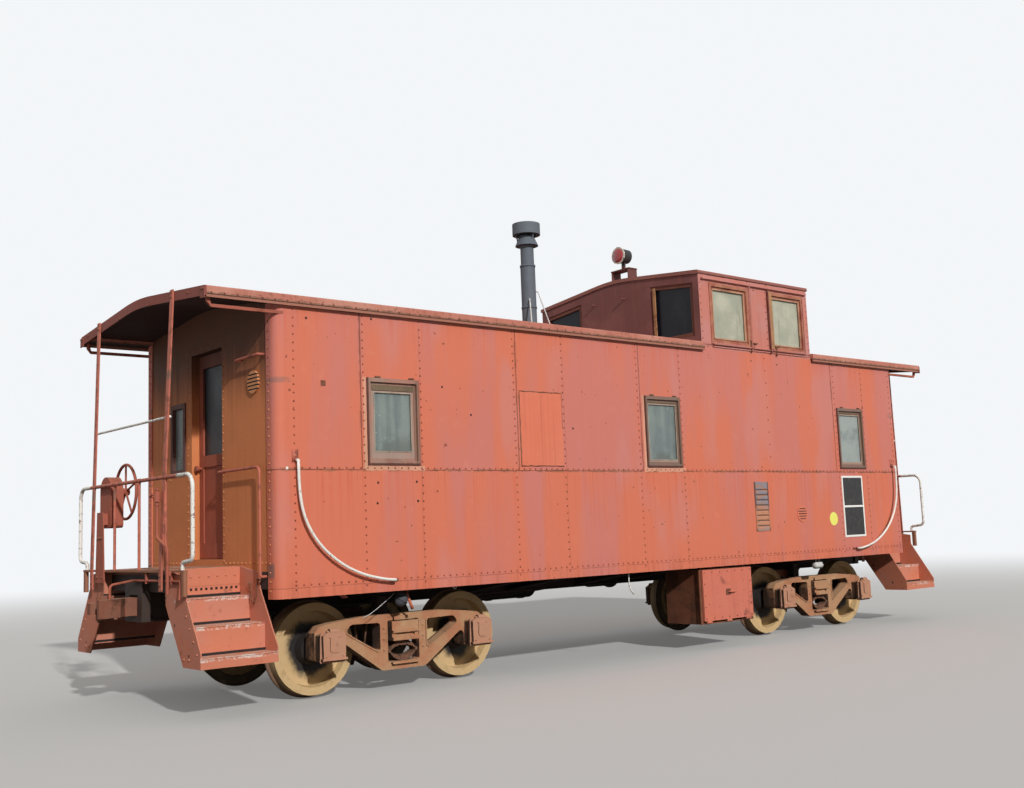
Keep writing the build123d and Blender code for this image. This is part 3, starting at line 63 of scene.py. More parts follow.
def makeCamera(look):
    # Forward comes from yaw and pitch; the level right and the upright then turn by the roll
    yaw, pitch, roll = look["yaw"], look["pitch"], look["roll"]
    forward = Vector((math.sin(yaw) * math.cos(pitch), math.cos(yaw) * math.cos(pitch), math.sin(pitch)))
    level = Vector((math.cos(yaw), -math.sin(yaw), 0))
    upright = level.cross(forward)
    right = level * math.cos(roll) + upright * math.sin(roll)
    above = upright * math.cos(roll) - level * math.sin(roll)
    data = bpy.data.cameras.new("camera")
    data.sensor_width = look["sensor"]
    data.lens = look["sensor"] * look["focal"] / look["width"]
    data.shift_y = (look["axisRow"] - look["middleRow"]) / look["width"]
    data.clip_end = look["farthest"]
    camera = bpy.data.objects.new("camera", data)
    turn = Matrix((right, above, -forward)).transposed().to_4x4()
    camera.matrix_world = Matrix.Translation(look["place"]) @ turn
    bpy.context.scene.collection.objects.link(camera)
    bpy.context.scene.camera = camera


lightLook = {
    "towardsSun": (-0.231, -0.856, 0.462),
    "sunStrength": 2.9,
    "sunSpread": math.radians(2.0),
    "skyLow": 0.03,
    "skyHigh": 0.50,
    "skyRamp": (0.02, 0.85),
    "background": (0.90, 0.92, 0.94, 1),
    "floor": (0.46, 0.45, 0.435, 1),
    "floorBounce": (0.13, 0.12, 0.11, 1),
    "floorGlow": 0.26,
    "floorRough": 0.9,
    "floorShine": 0.1,
    "floorSize": 200.0,
    "fadeFrom": 9.0,
    "fadeTo": 34.0,
}


def addNode(tree, kind, **settings):
    made = tree.nodes.new("ShaderNode" + kind)
    for name, value in settings.items():
        setattr(made, name, value)
    return made


def makeLight(look):
    # A low sun and a sky that brightens upwards; the camera and mirrors see a plain background instead
    sun = bpy.data.lights.new("sun", "SUN")
    sun.energy = look["sunStrength"]
    sun.angle = look["sunSpread"]
    lamp = bpy.data.objects.new("sun", sun)
    lamp.rotation_mode = "QUATERNION"
    lamp.rotation_quaternion = Vector(look["towardsSun"]).to_track_quat("Z", "Y")
    bpy.context.scene.collection.objects.link(lamp)
    world = bpy.data.worlds.new("sky")
    bpy.context.scene.world = world
    world.use_nodes = True
    tree = world.node_tree
    shown = tree.nodes["Background"]
    shown.inputs["Color"].default_value = look["background"]
    lighting = addNode(tree, "Background")
    lighting.inputs["Color"].default_value = (1, 1, 1, 1)
    apart = addNode(tree, "SeparateXYZ")
    tree.links.new(addNode(tree, "TexCoord").outputs["Generated"], apart.inputs[0])
    climb = addNode(tree, "MapRange")
    low, high = look["skyRamp"]
    limits = {"From Min": low, "From Max": high, "To Min": look["skyLow"], "To Max": look["skyHigh"]}
    for name, value in limits.items():
        climb.inputs[name].default_value = value
    tree.links.new(apart.outputs["Z"], climb.inputs["Value"])
    tree.links.new(climb.outputs[0], lighting.inputs["Strength"])
    path = addNode(tree, "LightPath")
    seen = addNode(tree, "Math", operation="MAXIMUM")
    mirrored = addNode(tree, "Math", operation="MAXIMUM")
    blend = addNode(tree, "MixShader")
    for output, socket in (
        (path.outputs["Is Camera Ray"], seen.inputs[0]),
        (path.outputs["Is Glossy Ray"], mirrored.inputs[0]),
        (path.outputs["Is Transmission Ray"], mirrored.inputs[1]),
        (mirrored.outputs[0], seen.inputs[1]),
        (seen.outputs[0], blend.inputs[0]),
        (lighting.outputs[0], blend.inputs[1]),
        (shown.outputs[0], blend.inputs[2]),
        (blend.outputs[0], tree.nodes["World Output"].inputs[0]),
    ):
        tree.links.new(output, socket)


makeCamera(cameraLook)
makeLight(lightLook)
bpy.context.scene.view_settings.view_transform = "Standard"
print("camera and light placed")


# Shader maths


class Wire:
    # Wraps one socket. Sums written on it add Math nodes, and node() adds any other node.
    def __init__(self, tree, socket):
        self.tree = tree
        self.socket = socket

    def node(self, kind, settings=None, inputs=None, output=0):
        made = self.tree.nodes.new("ShaderNode" + kind)
        for name, value in (settings or {}).items():
            setattr(made, name, value)
        for name, value in (inputs or {}).items():
            if isinstance(value, Wire):
                self.tree.links.new(value.socket, made.inputs[name])
            else:
                made.inputs[name].default_value = value
        return Wire(self.tree, made.outputs[output])

    def maths(self, operation, first, second=0.0):
        return self.node("Math", {"operation": operation}, {0: first, 1: second})

    def __add__(self, other):
        return self.maths("ADD", self, other)

    def __sub__(self, other):
        return self.maths("SUBTRACT", self, other)

    def __rsub__(self, other):
        return self.maths("SUBTRACT", other, self)

    def __mul__(self, other):
        return self.maths("MULTIPLY", self, other)

    def __pow__(self, other):
        return self.maths("POWER", self, other)

    def __abs__(self):
        return self.maths("ABSOLUTE", self)

    def most(self, other):
        return self.maths("MAXIMUM", self, other)

    __radd__ = __add__
    __rmul__ = __mul__


def shade(red, green, blue):
    # A colour written as steps from 0 to 255, turned to the linear values that shaders take
    steps = np.array([red, green, blue]) / 255
    linear = np.where(steps <= 0.04045, steps / 12.92, ((steps + 0.055) / 1.055) ** 2.4)
    return (*linear.tolist(), 1.0)


def startMaterial(name):
    material = bpy.data.materials.new(name)
    material.use_nodes = True
    tree = material.node_tree
    place = Wire(tree, tree.nodes.new("ShaderNodeTexCoord").outputs["Object"])
    return material, place


def finishMaterial(material, values):
    shader = material.node_tree.nodes["Principled BSDF"]
    for name, value in values.items():
        if isinstance(value, Wire):
            material.node_tree.links.new(value.socket, shader.inputs[name])
        else:
            shader.inputs[name].default_value = value
    return material


def axis(place, index):
    return place.node("SeparateXYZ", {}, {0: place}, index)


def facingUp(place):
    # 1 on level tops, 0 on upright faces and -1 on undersides
    return axis(place.node("NewGeometry", {}, {}, 1), 2)


def cloud(place, scale, detail=4.0, rough=0.55, stretch=(1, 1, 1), shift=(0, 0, 0)):
    spot = place
    if stretch != (1, 1, 1) or shift != (0, 0, 0):
        spot = place.node("Mapping", {}, {"Vector": place, "Scale": stretch, "Location": shift})
    return place.node("TexNoise", {}, {"Vector": spot, "Scale": scale, "Detail": detail, "Roughness": rough})


def rise(value, low, high):
    # 0 below low and 1 above high, with a smooth S between them
    settings = {"interpolation_type": "SMOOTHSTEP"}
    return value.node("MapRange", settings, {"Value": value, "From Min": low, "From Max": high})


def mixed(share, first, second):
    return share.node("Mix", {"data_type": "RGBA"}, {0: share, 6: first, 7: second}, 2)


def nearest(value, lines):
    # Distance to the nearest of some lines across one axis
    distance = abs(value - lines[0])
    for line in lines[1:]:
        distance = value.maths("MINIMUM", distance, abs(value - line))
    return distance


def between(value, low, high, soft):
    return rise(value, low - soft, low + soft) * (1 - rise(value, high - soft, high + soft))


def outside(value, low, high, soft):
    # 1 below low and above high, and 0 between them
    return (1 - rise(value, low, low + soft)).most(rise(value, high, high + soft))


def greatest(shares):
    # The greatest of several shares at each point
    most = shares[0]
    for share in shares[1:]:
        most = most.most(share)
    return most


def bumped(height, strength, distance):
    return height.node("Bump", {}, {"Height": height, "Strength": strength, "Distance": distance})


def floorPaint(look):
    # Plain matt floor near the object, which fades into the background far away
    material, place = startMaterial("floor")
    tree = material.node_tree
    shader = tree.nodes["Principled BSDF"]
    shader.inputs["Roughness"].default_value = look["floorRough"]
    shader.inputs["Specular IOR Level"].default_value = look["floorShine"]
    shader.inputs["Emission Color"].default_value = look["floor"]
    seen = Wire(tree, addNode(tree, "LightPath").outputs["Is Camera Ray"])
    tree.links.new((seen * look["floorGlow"]).socket, shader.inputs["Emission Strength"])
    tree.links.new(mixed(seen, look["floorBounce"], look["floor"]).socket, shader.inputs["Base Color"])
    reach = (axis(place, 0) ** 2.0 + axis(place, 1) ** 2.0) ** 0.5
    faded = rise(reach, look["fadeFrom"], look["fadeTo"])
    far = addNode(tree, "Emission")
    far.inputs["Color"].default_value = look["background"]
    both = addNode(tree, "MixShader")
    tree.links.new(faded.socket, both.inputs[0])
    tree.links.new(shader.outputs[0], both.inputs[1])
    tree.links.new(far.outputs[0], both.inputs[2])
    tree.links.new(both.outputs[0], tree.nodes["Material Output"].inputs[0])
    return material


def makeFloor(look):
    half = look["floorSize"]
    corners = [(-half, -half, 0), (half, -half, 0), (half, half, 0), (-half, half, 0)]
    mesh = bpy.data.meshes.new("floor")
    mesh.from_pydata(corners, [], [(0, 1, 2, 3)])
    floor = bpy.data.objects.new("floor", mesh)
    bpy.context.scene.collection.objects.link(floor)
    mesh.materials.append(floorPaint(look))


makeFloor(lightLook)


# Weathered paint on steel: chalky patches, downward runs, rust specks, dust, and painted shade on undersides
# and under overhangs

plainPaint = {
    "paint": shade(206, 112, 82),
    "sunned": shade(216, 124, 92),
    "chalk": shade(198, 120, 106),
    "stain": shade(150, 74, 52),
    "rust": shade(104, 56, 38),
    "dust": shade(192, 146, 116),
    # painted shade for faces turned downwards
    "under": shade(112, 58, 44),
    "patchScale": 1.1,
    "chalkShare": 0.7,
    "cloudScale": 7.0,
    "sunnedShare": 0.30,
    "grainScale": 90.0,
    "grainShare": 0.12,
    "runScale": 14.0,
    "runShare": 0.30,
    "speckScale": 42.0,
    "speckFrom": 0.70,
    "speckShare": 0.85,
    "blotchScale": 3.1,
    "rustFrom": 0.62,
    "rustShare": 0.30,
    "dustBand": (0.2, 1.1),
    "dustShare": 0.25,
    "topDust": 0.30,
    # how much painted shade falls on faces turned downwards
    "underShare": 0.75,
    # painted shade darker towards the top of a wall, where a roof's overhang shades it: how much, over which
    # heights, and its colour
    "overhangShade": 0.0,
    "overhangShadeBand": (2.55, 3.25),
    "overhangShadeColour": shade(52, 30, 22),
    "endDark": None,  # the paint is darker beyond these two places along the car
    "endColour": shade(96, 52, 46),
    "endShare": 0.8,
    "relief": 0.35,
    "reliefDepth": 0.004,
    "shine": 0.35,
}


def oldPaint(name, look):
    # Layers from the bottom up: chalk, sun, runs, rust, specks, dust on tops, painted shade on undersides,
    # grain, painted shade up high
    material, place = startMaterial(name)
    patches = rise(cloud(place, look["patchScale"], 3, 0.5), 0.43, 0.60)
    clouds = cloud(place, look["cloudScale"], 5, 0.62)
    runs = cloud(place, 1.0, 4, 0.6, (look["runScale"], look["runScale"], 0.45))
    grain = cloud(place, look["grainScale"], 4, 0.7)
    specks = rise(cloud(place, look["speckScale"], 3, 0.6), look["speckFrom"], look["speckFrom"] + 0.05)
    blotches = rise(cloud(place, look["blotchScale"], 6, 0.66), look["rustFrom"], look["rustFrom"] + 0.10)
    height, facing = axis(place, 2), facingUp(place)
    colour = mixed(patches * look["chalkShare"], look["paint"], look["chalk"])
    colour = mixed(rise(clouds, 0.35, 0.7) * look["sunnedShare"], colour, look["sunned"])
    colour = mixed(rise(runs, 0.52, 0.74) * look["runShare"], colour, look["stain"])
    colour = mixed(blotches * look["rustShare"], colour, look["rust"])
    colour = mixed(specks * look["speckShare"], colour, look["rust"])
    low = 1 - rise(height, *look["dustBand"])
    dusty = low * look["dustShare"] + rise(facing, 0.5, 0.95) * look["topDust"]
    colour = mixed(dusty * rise(clouds, 0.25, 0.65), colour, look["dust"])
    # Painted shade: faces turned downwards are darkened
    colour = mixed(rise(-1 * facing, 0.3, 0.9) * look["underShare"], colour, look["under"])
    colour = mixed(rise(grain, 0.45, 0.8) * look["grainShare"], colour, look["stain"])
    # Painted shade towards the top, under the roof's overhang
    if look["overhangShade"]:
        overhangShaded = rise(height + (runs - 0.5) * 0.5, *look["overhangShadeBand"]) * look["overhangShade"]
        colour = mixed(overhangShaded, colour, look["overhangShadeColour"])
    if look["endDark"]:
        ends = outside(axis(place, 0), *look["endDark"], 0.01)
        colour = mixed(ends * look["endShare"], colour, look["endColour"])
    relief = grain * 0.25 + clouds * 0.6 + blotches * 0.5
    return finishMaterial(material, {
        "Base Color": colour, "Roughness": 0.62 + 0.22 * clouds + 0.12 * blotches,
        "Normal": bumped(relief, look["relief"], look["reliefDepth"]), "Specular IOR Level": look["shine"],
    })


# Side sheets: broad upright bands of orange and mauve, with seams, rust at the belt and runs below it

sheetLook = {
    "upperSeams": (-3.945, -2.086, -0.290, 3.352),
    "faintLines": (-3.285, -1.440, 0.372, 4.030),
    "belt": 2.017,
    "sillLine": 1.002,
    "orange": shade(210, 115, 87),
    "mauve": shade(200, 118, 104),
    "grey": shade(200, 128, 118),
    "ember": shade(205, 94, 62),
    "runColour": shade(166, 84, 60),
    "seamColour": shade(108, 62, 48),
    "olive": shade(122, 92, 64),
    "rust": shade(118, 62, 44),
    "pale": shade(226, 160, 132),
    "smear": (2.775, 2.822),
    "footPatch": (1.100, 1.220),
    "smudge": shade(128, 102, 94),
    "under": shade(70, 40, 34),
}


def sideSheets(look):
    # Bands, a slanted grey smear, runs from the belt and rim, fading, seams, rust beside them, specks and
    # painted shade underneath
    material, place = startMaterial("side_sheets")
    along, height = axis(place, 0), axis(place, 2)
    level = height - railTop
    above = rise(level, look["belt"] - 0.002, look["belt"] + 0.002)
    bands = cloud(place, 1.0, 3, 0.5, (1.5, 1.5, 0.28), (0, 0, 3.1))
    lowBands = cloud(place, 1.0, 3, 0.5, (1.9, 1.9, 0.22), (4.7, 0, 8.2))
    streaks = cloud(place, 1.0, 3, 0.55, (7.0, 7.0, 0.30))
    share = above * bands + (1 - above) * (lowBands - 0.035) + (streaks - 0.5) * 0.22
    colour = mixed(rise(share, 0.40, 0.57), look["orange"], look["mauve"])
    slanted = place.node("Mapping", {}, {"Vector": place, "Rotation": (0, 0.6, 0), "Scale": (2.2, 1, 0.7)})
    smears = slanted.node("TexNoise", {}, {"Vector": slanted, "Scale": 1.0, "Detail": 2, "Roughness": 0.4})
    colour = mixed(rise(smears, 0.56, 0.70) * 0.55, colour, look["grey"])
    fade = cloud(place, 5.0, 6, 0.65)
    runs = cloud(place, 1.0, 5, 0.65, (24, 24, 0.5))
    fineRuns = cloud(place, 1.0, 3, 0.6, (60, 60, 1.1))
    belowBelt = rise(level, look["belt"] - 0.85, look["belt"]) * (1 - above)
    underRim = rise(level, 3.05, 3.50)
    wet = rise(runs, 0.48, 0.72) * (0.10 + 0.50 * belowBelt ** 1.5 + 0.45 * underRim)
    colour = mixed(wet, colour, look["ember"])
    colour = mixed(rise(fineRuns, 0.60, 0.72) * (0.05 + 0.35 * belowBelt ** 3.0), colour, look["runColour"])
    colour = mixed(rise(fade, 0.56, 0.78) * 0.18, colour, look["pale"])
    foot = 1 - rise(level, 0.93, 1.15)
    colour = mixed(foot * rise(runs, 0.42, 0.66) * 0.35, colour, look["runColour"])
    wobble = (fade - 0.5) * 0.012
    broken = rise(cloud(place, 9.0, 3, 0.6), 0.36, 0.50)
    dark = nearest(along + wobble, look["upperSeams"])
    seam = (1 - rise(dark, 0.002, 0.008)) * above * 0.85
    faint = (1 - rise(nearest(along + wobble, look["faintLines"]), 0.001, 0.007)) * 0.30 * broken
    belt = abs(level - look["belt"] + wobble)
    lines = seam.most(faint).most((1 - rise(belt, 0.002, 0.008)) * 0.8 * broken)
    low = abs(level - look["sillLine"] + wobble)
    lines = lines.most((1 - rise(low, 0.001, 0.007)) * 0.45 * broken)
    crust = (1 - rise(belt, 0.004, 0.026)) * rise(cloud(place, 13.0, 4, 0.7), 0.46, 0.58)
    colour = mixed(crust * 0.55, colour, look["olive"])
    near = (1 - rise(dark, 0.0, 0.030)) * above * rise(fade, 0.46, 0.60) * 0.45
    colour = mixed(near, colour, look["rust"])
    specks = rise(cloud(place, 16.0, 2, 0.5), 0.745, 0.765)
    colour = mixed(specks * 0.8, colour, look["rust"])
    reach = abs(along)
    smear = between(level + wobble * 3, *look["smear"], 0.010) * rise(reach, 4.60, 4.68)
    foot = between(level + wobble * 5, *look["footPatch"], 0.020) * rise(reach, 4.806, 4.812)
    colour = mixed((smear * 0.55).most(foot * 0.8) * rise(fade, 0.35, 0.5), colour, look["smudge"])
    colour = mixed(lines, colour, look["seamColour"])
    grain = cloud(place, 120.0, 3, 0.6)
    colour = mixed(rise(grain, 0.5, 0.8) * 0.08, colour, look["runColour"])
    # Painted shade on faces turned downwards
    colour = mixed(rise(-1 * facingUp(place), 0.3, 0.9), colour, look["under"])
    waves = cloud(place, 1.7, 2, 0.4)
    relief = waves * 5.0 + grain * 0.12 + fade * 0.25 - lines * 1.1
    rough = 0.58 + 0.20 * fade + 0.15 * lines
    normal = bumped(relief, 0.30, 0.006)
    values = {"Base Color": colour, "Roughness": rough, "Normal": normal, "Specular IOR Level": 0.35}
    return finishMaterial(material, values)


finishes = {"side": sideSheets(sheetLook)}


# The plain paint with changes: each finish's material name and what differs, colours in steps from 0 to 255

paintChanges = {
    "fitting": ("side_fittings", dict(paint=(208, 110, 82))),
    "patch": ("patch_panel", dict(
        paint=(216, 116, 88), chalk=(212, 124, 98), sunned=(222, 128, 96), runScale=30.0, rustShare=0.0,
        dustShare=0.0)),
    "flashing": ("pale_flashing", dict(
        paint=(216, 156, 130), chalk=(200, 148, 118), sunned=(222, 150, 120), rustShare=0.15, dustShare=0.0)),
    "rivet": ("rivet_heads", dict(
        paint=(158, 76, 56), chalk=(132, 66, 50), sunned=(178, 88, 64), stain=(96, 48, 36), rust=(96, 50, 36),
        patchScale=2.6, rustFrom=0.50, rustShare=0.6, dustShare=0.0, topDust=0.0)),
    "tanRivet": ("end_rivet_heads", dict(
        paint=(206, 132, 84), chalk=(214, 146, 100), sunned=(218, 150, 106), dustShare=0.0, overhangShade=0.7)),
    "weld": ("rusty_bead", dict(
        paint=(128, 88, 66), chalk=(116, 76, 58), sunned=(146, 100, 76), rustFrom=0.45, rustShare=0.7,
        dustShare=0.0)),
    "step": ("stand_paint", dict(
        paint=(168, 90, 68), chalk=(158, 88, 72), rustFrom=0.57, rustShare=0.5, dustShare=0.35,
        sunned=(180, 100, 76), stain=(112, 58, 44), dust=(186, 136, 104), dustBand=(0.3, 0.9))),
    # The end wall, its door and its rivets take painted shade up high, under the roof's overhang
    "end": ("end_wall_paint", dict(
        paint=(212, 128, 78), sunned=(222, 140, 90), chalk=(198, 118, 70), stain=(164, 96, 56),
        rust=(124, 72, 44), runShare=0.35, chalkShare=0.6, dust=(190, 132, 88), relief=0.3, topDust=0.1,
        rustFrom=0.64, under=(70, 40, 28), dustBand=(1.1, 1.5), overhangShade=0.85)),
    "door": ("door_paint", dict(
        paint=(166, 82, 56), sunned=(180, 96, 66), chalk=(150, 78, 60), stain=(100, 50, 36),
        rust=(80, 44, 32), topDust=0.1, overhangShade=0.75)),
    "underframe": ("underframe_grime", dict(
        paint=(50, 38, 34), sunned=(60, 46, 40), chalk=(70, 54, 46), stain=(32, 26, 24), rust=(76, 48, 36),
        dust=(84, 68, 56), under=(28, 23, 22), dustBand=(0.3, 1.2), dustShare=0.4)),
    "deck": ("deck_plate", dict(
        paint=(150, 96, 70), sunned=(172, 116, 88), chalk=(148, 106, 84), stain=(92, 58, 44),
        dust=(190, 150, 122), topDust=0.6, under=(48, 32, 27), underShare=1.0)),
    "coupler": ("dusty_casting", dict(
        paint=(132, 80, 60), sunned=(150, 98, 76), chalk=(120, 80, 64), stain=(66, 42, 34), rust=(64, 40, 30),
        patchScale=4.0, rustFrom=0.50, rustShare=0.7, relief=0.6, topDust=0.6, dust=(184, 140, 112),
        under=(34, 24, 21), underShare=0.9)),
    # darker than the door's paint: painted shade on the box, which stands in the car's shadow
    "box": ("box_paint_painted_shade", dict(
        paint=(120, 68, 46), sunned=(150, 92, 62), chalk=(104, 62, 46), stain=(56, 34, 26), rust=(60, 38, 28),
        patchScale=2.4, rustFrom=0.50, rustShare=0.6, dustShare=0.1, under=(24, 18, 16))),
    "pipe": ("stove_pipe", dict(
        paint=(92, 98, 106), sunned=(108, 114, 122), chalk=(98, 104, 110), stain=(66, 68, 74),
        rust=(104, 84, 76), rustShare=0.25, speckScale=60.0, topDust=0.0, dustShare=0.0, under=(40, 40, 44))),
    "bulb": ("slate_casting", dict(
        paint=(66, 70, 78), sunned=(84, 88, 96), chalk=(74, 74, 80), stain=(40, 40, 44), rust=(86, 62, 50),
        under=(24, 23, 25))),
    "silver": ("dull_silver", dict(
        paint=(214, 214, 210), sunned=(228, 228, 224), chalk=(196, 192, 184), stain=(120, 110, 100),
        rust=(130, 92, 70), under=(60, 58, 56))),
    "header": ("window_header", dict(
        paint=(112, 94, 72), sunned=(136, 116, 90), chalk=(96, 82, 64), stain=(58, 46, 36), rust=(78, 56, 42),
        patchScale=6.0, runScale=60.0, topDust=0.2)),
    "sash": ("dusty_sash", dict(
        paint=(172, 134, 120), sunned=(184, 148, 134), chalk=(158, 138, 124), stain=(118, 92, 78),
        rust=(120, 84, 66), patchScale=3.0, chalkShare=0.9, rustShare=0.25)),
    "screenFrame": ("pale_screen_frame", dict(
        paint=(168, 154, 136), sunned=(186, 176, 158), chalk=(150, 136, 120), stain=(112, 98, 84),
        rustShare=0.35, rustFrom=0.5)),
    "bead": ("worn_bead", dict(
        paint=(188, 144, 114), sunned=(204, 164, 130), chalk=(164, 116, 92), stain=(112, 78, 62),
        rust=(104, 68, 52), patchScale=6.0, rustFrom=0.52, rustShare=0.5)),
    "bareWood": ("bare_wood", dict(
        paint=(172, 124, 84), sunned=(190, 142, 98), chalk=(156, 110, 76), stain=(110, 72, 48),
        rust=(84, 50, 36), patchScale=9.0, rustFrom=0.56, rustShare=0.6, dustShare=0.1)),
    "boxDoor": ("chipped_door_paint", dict(
        paint=(208, 112, 88), sunned=(214, 120, 92), chalk=(204, 116, 98), stain=(150, 72, 54),
        rust=(84, 44, 32), speckScale=26.0, speckFrom=0.66, rustFrom=0.60, rustShare=0.5, dustShare=0.1)),
    "yellow": ("yellow_spot", dict(
        paint=(236, 232, 112), sunned=(242, 238, 128), chalk=(230, 222, 104), stain=(214, 196, 92),
        rustShare=0.0, dustShare=0.0, speckFrom=0.8)),
    "endAngle": ("end_angle_paint", dict(
        paint=(134, 70, 58), sunned=(150, 82, 68), chalk=(140, 78, 68), stain=(92, 48, 40), rust=(80, 44, 34),
        dustShare=0.0, topDust=0.2, under=(52, 30, 26))),
    "wood": ("worn_sash_wood", dict(
        paint=(158, 86, 70), sunned=(196, 146, 112), chalk=(178, 120, 92), stain=(96, 54, 44),
        rust=(92, 54, 42), patchScale=5.0, rustFrom=0.54, runScale=40.0, chalkShare=0.7, endDark=(0.93, 2.82),
        endColour=(92, 52, 44))),
    # painted shade standing for the dark inside of holes, slots and notches
    "slot": ("painted_shade_in_openings", dict(
        paint=(44, 26, 22), sunned=(54, 32, 26), chalk=(48, 30, 26), stain=(24, 16, 14), rust=(60, 34, 26),
        dustShare=0.0, topDust=0.0)),
}


def paintTable(changes):
    # One finish for each row; its three-number values are colours
    for finish, (name, parts) in changes.items():
        tones = {part: shade(*value) for part, value in parts.items()
                 if isinstance(value, tuple) and len(value) == 3}
        finishes[finish] = oldPaint(name, {**plainPaint, **parts, **tones})


paintTable(paintChanges)


# Roof sheets: grimy rims with a ragged brown lower edge, and rust along the laps on top

roofLook = {
    "crown": shade(132, 80, 72),
    "eave": 3.550,
    "rimLow": 3.470,
    "laps": (-4.55, -3.55, -2.55, -0.35, 0.42, 3.28, 4.40),
    "paint": shade(184, 112, 93),
    "chalk": shade(192, 130, 110),
    "edge": shade(120, 84, 64),
    "pale": shade(168, 108, 88),
    "stain": shade(150, 86, 68),
    "rust": shade(112, 66, 48),
    "under": shade(52, 30, 26),
}


def roofSheets(look):
    # Stained patches, rusty laps on top, a ragged brown lower rim, a darker crown, and painted shade on the
    # underside
    material, place = startMaterial("roof_sheets")
    along, level = axis(place, 0), axis(place, 2) - railTop
    facing = facingUp(place)
    clouds = cloud(place, 6.0, 6, 0.66)
    patches = cloud(place, 1.3, 4, 0.55)
    ragged = cloud(place, 17.0, 4, 0.7)
    colour = mixed(rise(patches, 0.40, 0.62), look["paint"], look["chalk"])
    colour = mixed(rise(clouds, 0.50, 0.72) * 0.45, colour, look["stain"])
    top = rise(facing, 0.6, 0.95)
    grime = rise(cloud(place, 2.4, 5, 0.6), 0.40, 0.70) * 0.55
    colour = mixed(top * grime, colour, look["rust"])
    laps = 1 - rise(nearest(along, look["laps"]), 0.004, 0.010)
    stained = (1 - rise(nearest(along, look["laps"]), 0.0, 0.10)) * rise(clouds, 0.42, 0.62) * 0.5
    colour = mixed(top * laps.most(stained), colour, look["rust"])
    rim = (1 - rise(abs(facing), 0.5, 0.7)) * (1 - rise(level, look["eave"] + 0.05, look["eave"] + 0.06))
    edge = 1 - rise(level + (ragged - 0.5) * 0.07, look["rimLow"] + 0.018, look["rimLow"] + 0.030)
    colour = mixed(rim * edge * 0.85, colour, look["edge"])
    chips = rise(cloud(place, 34.0, 3, 0.6), 0.60, 0.64)
    colour = mixed(rim * chips * 0.55, colour, look["rust"])
    lip = 1 - rise(level, look["rimLow"] + 0.002, look["rimLow"] + 0.006)
    colour = mixed(rim * lip * 0.8, colour, look["pale"])
    crown = (1 - rise(abs(facing), 0.5, 0.7)) * rise(level, look["eave"] + 0.06, look["eave"] + 0.07)
    colour = mixed(crown * 0.8, colour, look["crown"])
    # Painted shade on the roof's underside
    colour = mixed(rise(-1 * facing, 0.3, 0.9), colour, look["under"])
    relief = clouds * 0.8 + ragged * rim * 0.9 + laps * -0.8
    rough = 0.62 + 0.25 * clouds
    values = {"Base Color": colour, "Roughness": rough, "Normal": bumped(relief, 0.45, 0.005)}
    return finishMaterial(material, values)


finishes["roof"] = roofSheets(roofLook)


# Cupola sides and ends: the ends are a darker maroon than the flush sides

cupolaLook = {
    "x0": 0.814,
    "x1": 2.940,
    "side": shade(194, 119, 103),
    "chalk": shade(192, 126, 116),
    "end": shade(114, 66, 61),
    "endChalk": shade(128, 76, 70),
    "line": shade(92, 46, 38),
    "stain": shade(150, 82, 68),
    "seams": (1.735, 2.100),
    "sill": 3.531,
}


def cupolaPaint(look):
    # Sides and ends by distance from the cupola's middle, then runs, seams, the sill line and specks
    material, place = startMaterial("cupola_sheets")
    along, level = axis(place, 0), axis(place, 2) - railTop
    patches = rise(cloud(place, 2.1, 4, 0.55), 0.42, 0.60)
    clouds = cloud(place, 8.0, 5, 0.62)
    runs = cloud(place, 1.0, 4, 0.6, (20, 20, 0.6))
    side = mixed(patches, look["side"], look["chalk"])
    end = mixed(patches, look["end"], look["endChalk"])
    middle = (look["x0"] + look["x1"]) / 2
    reach = abs(along - middle)
    half = (look["x1"] - look["x0"]) / 2
    recessed = rise(reach, half - 0.13, half - 0.12) * (1 - rise(abs(axis(place, 1)), 1.380, 1.385))
    colour = mixed(rise(reach, half - 0.004, half - 0.001).most(recessed), side, end)
    colour = mixed(rise(runs, 0.52, 0.72) * 0.35, colour, look["stain"])
    lines = (1 - rise(nearest(along, look["seams"]), 0.002, 0.008)) * 0.8
    lines = lines.most((1 - rise(abs(level - look["sill"]), 0.004, 0.012)) * 0.7)
    colour = mixed(lines, colour, look["line"])
    specks = rise(cloud(place, 40.0, 3, 0.6), 0.70, 0.75)
    colour = mixed(specks * 0.7, colour, look["line"])
    values = {"Base Color": colour, "Roughness": 0.6 + 0.25 * clouds, "Normal": bumped(clouds, 0.3, 0.004)}
    return finishMaterial(material, values)


finishes["cupola"] = cupolaPaint(cupolaLook)


# Window frames: dusty brown flanges with painted shadow along a dark left edge

trimLook = dict(
    plainPaint, paint=shade(164, 118, 102), sunned=shade(176, 132, 116), chalk=shade(150, 126, 110),
    stain=shade(104, 70, 58), rust=shade(96, 58, 44), patchScale=4.0, rustFrom=0.54, topDust=0.3,
    under=shade(52, 30, 26), middles=(-3.590, 0.070, 3.722), half=0.280, low=2.077, high=2.850,
    edge=shade(74, 36, 30), jamb=shade(120, 92, 74), jambWidth=0.050, side=shade(196, 110, 88),
    besideWidth=0.030, greyer=shade(116, 96, 84), greyFrom=(-1.0, -0.9),
)


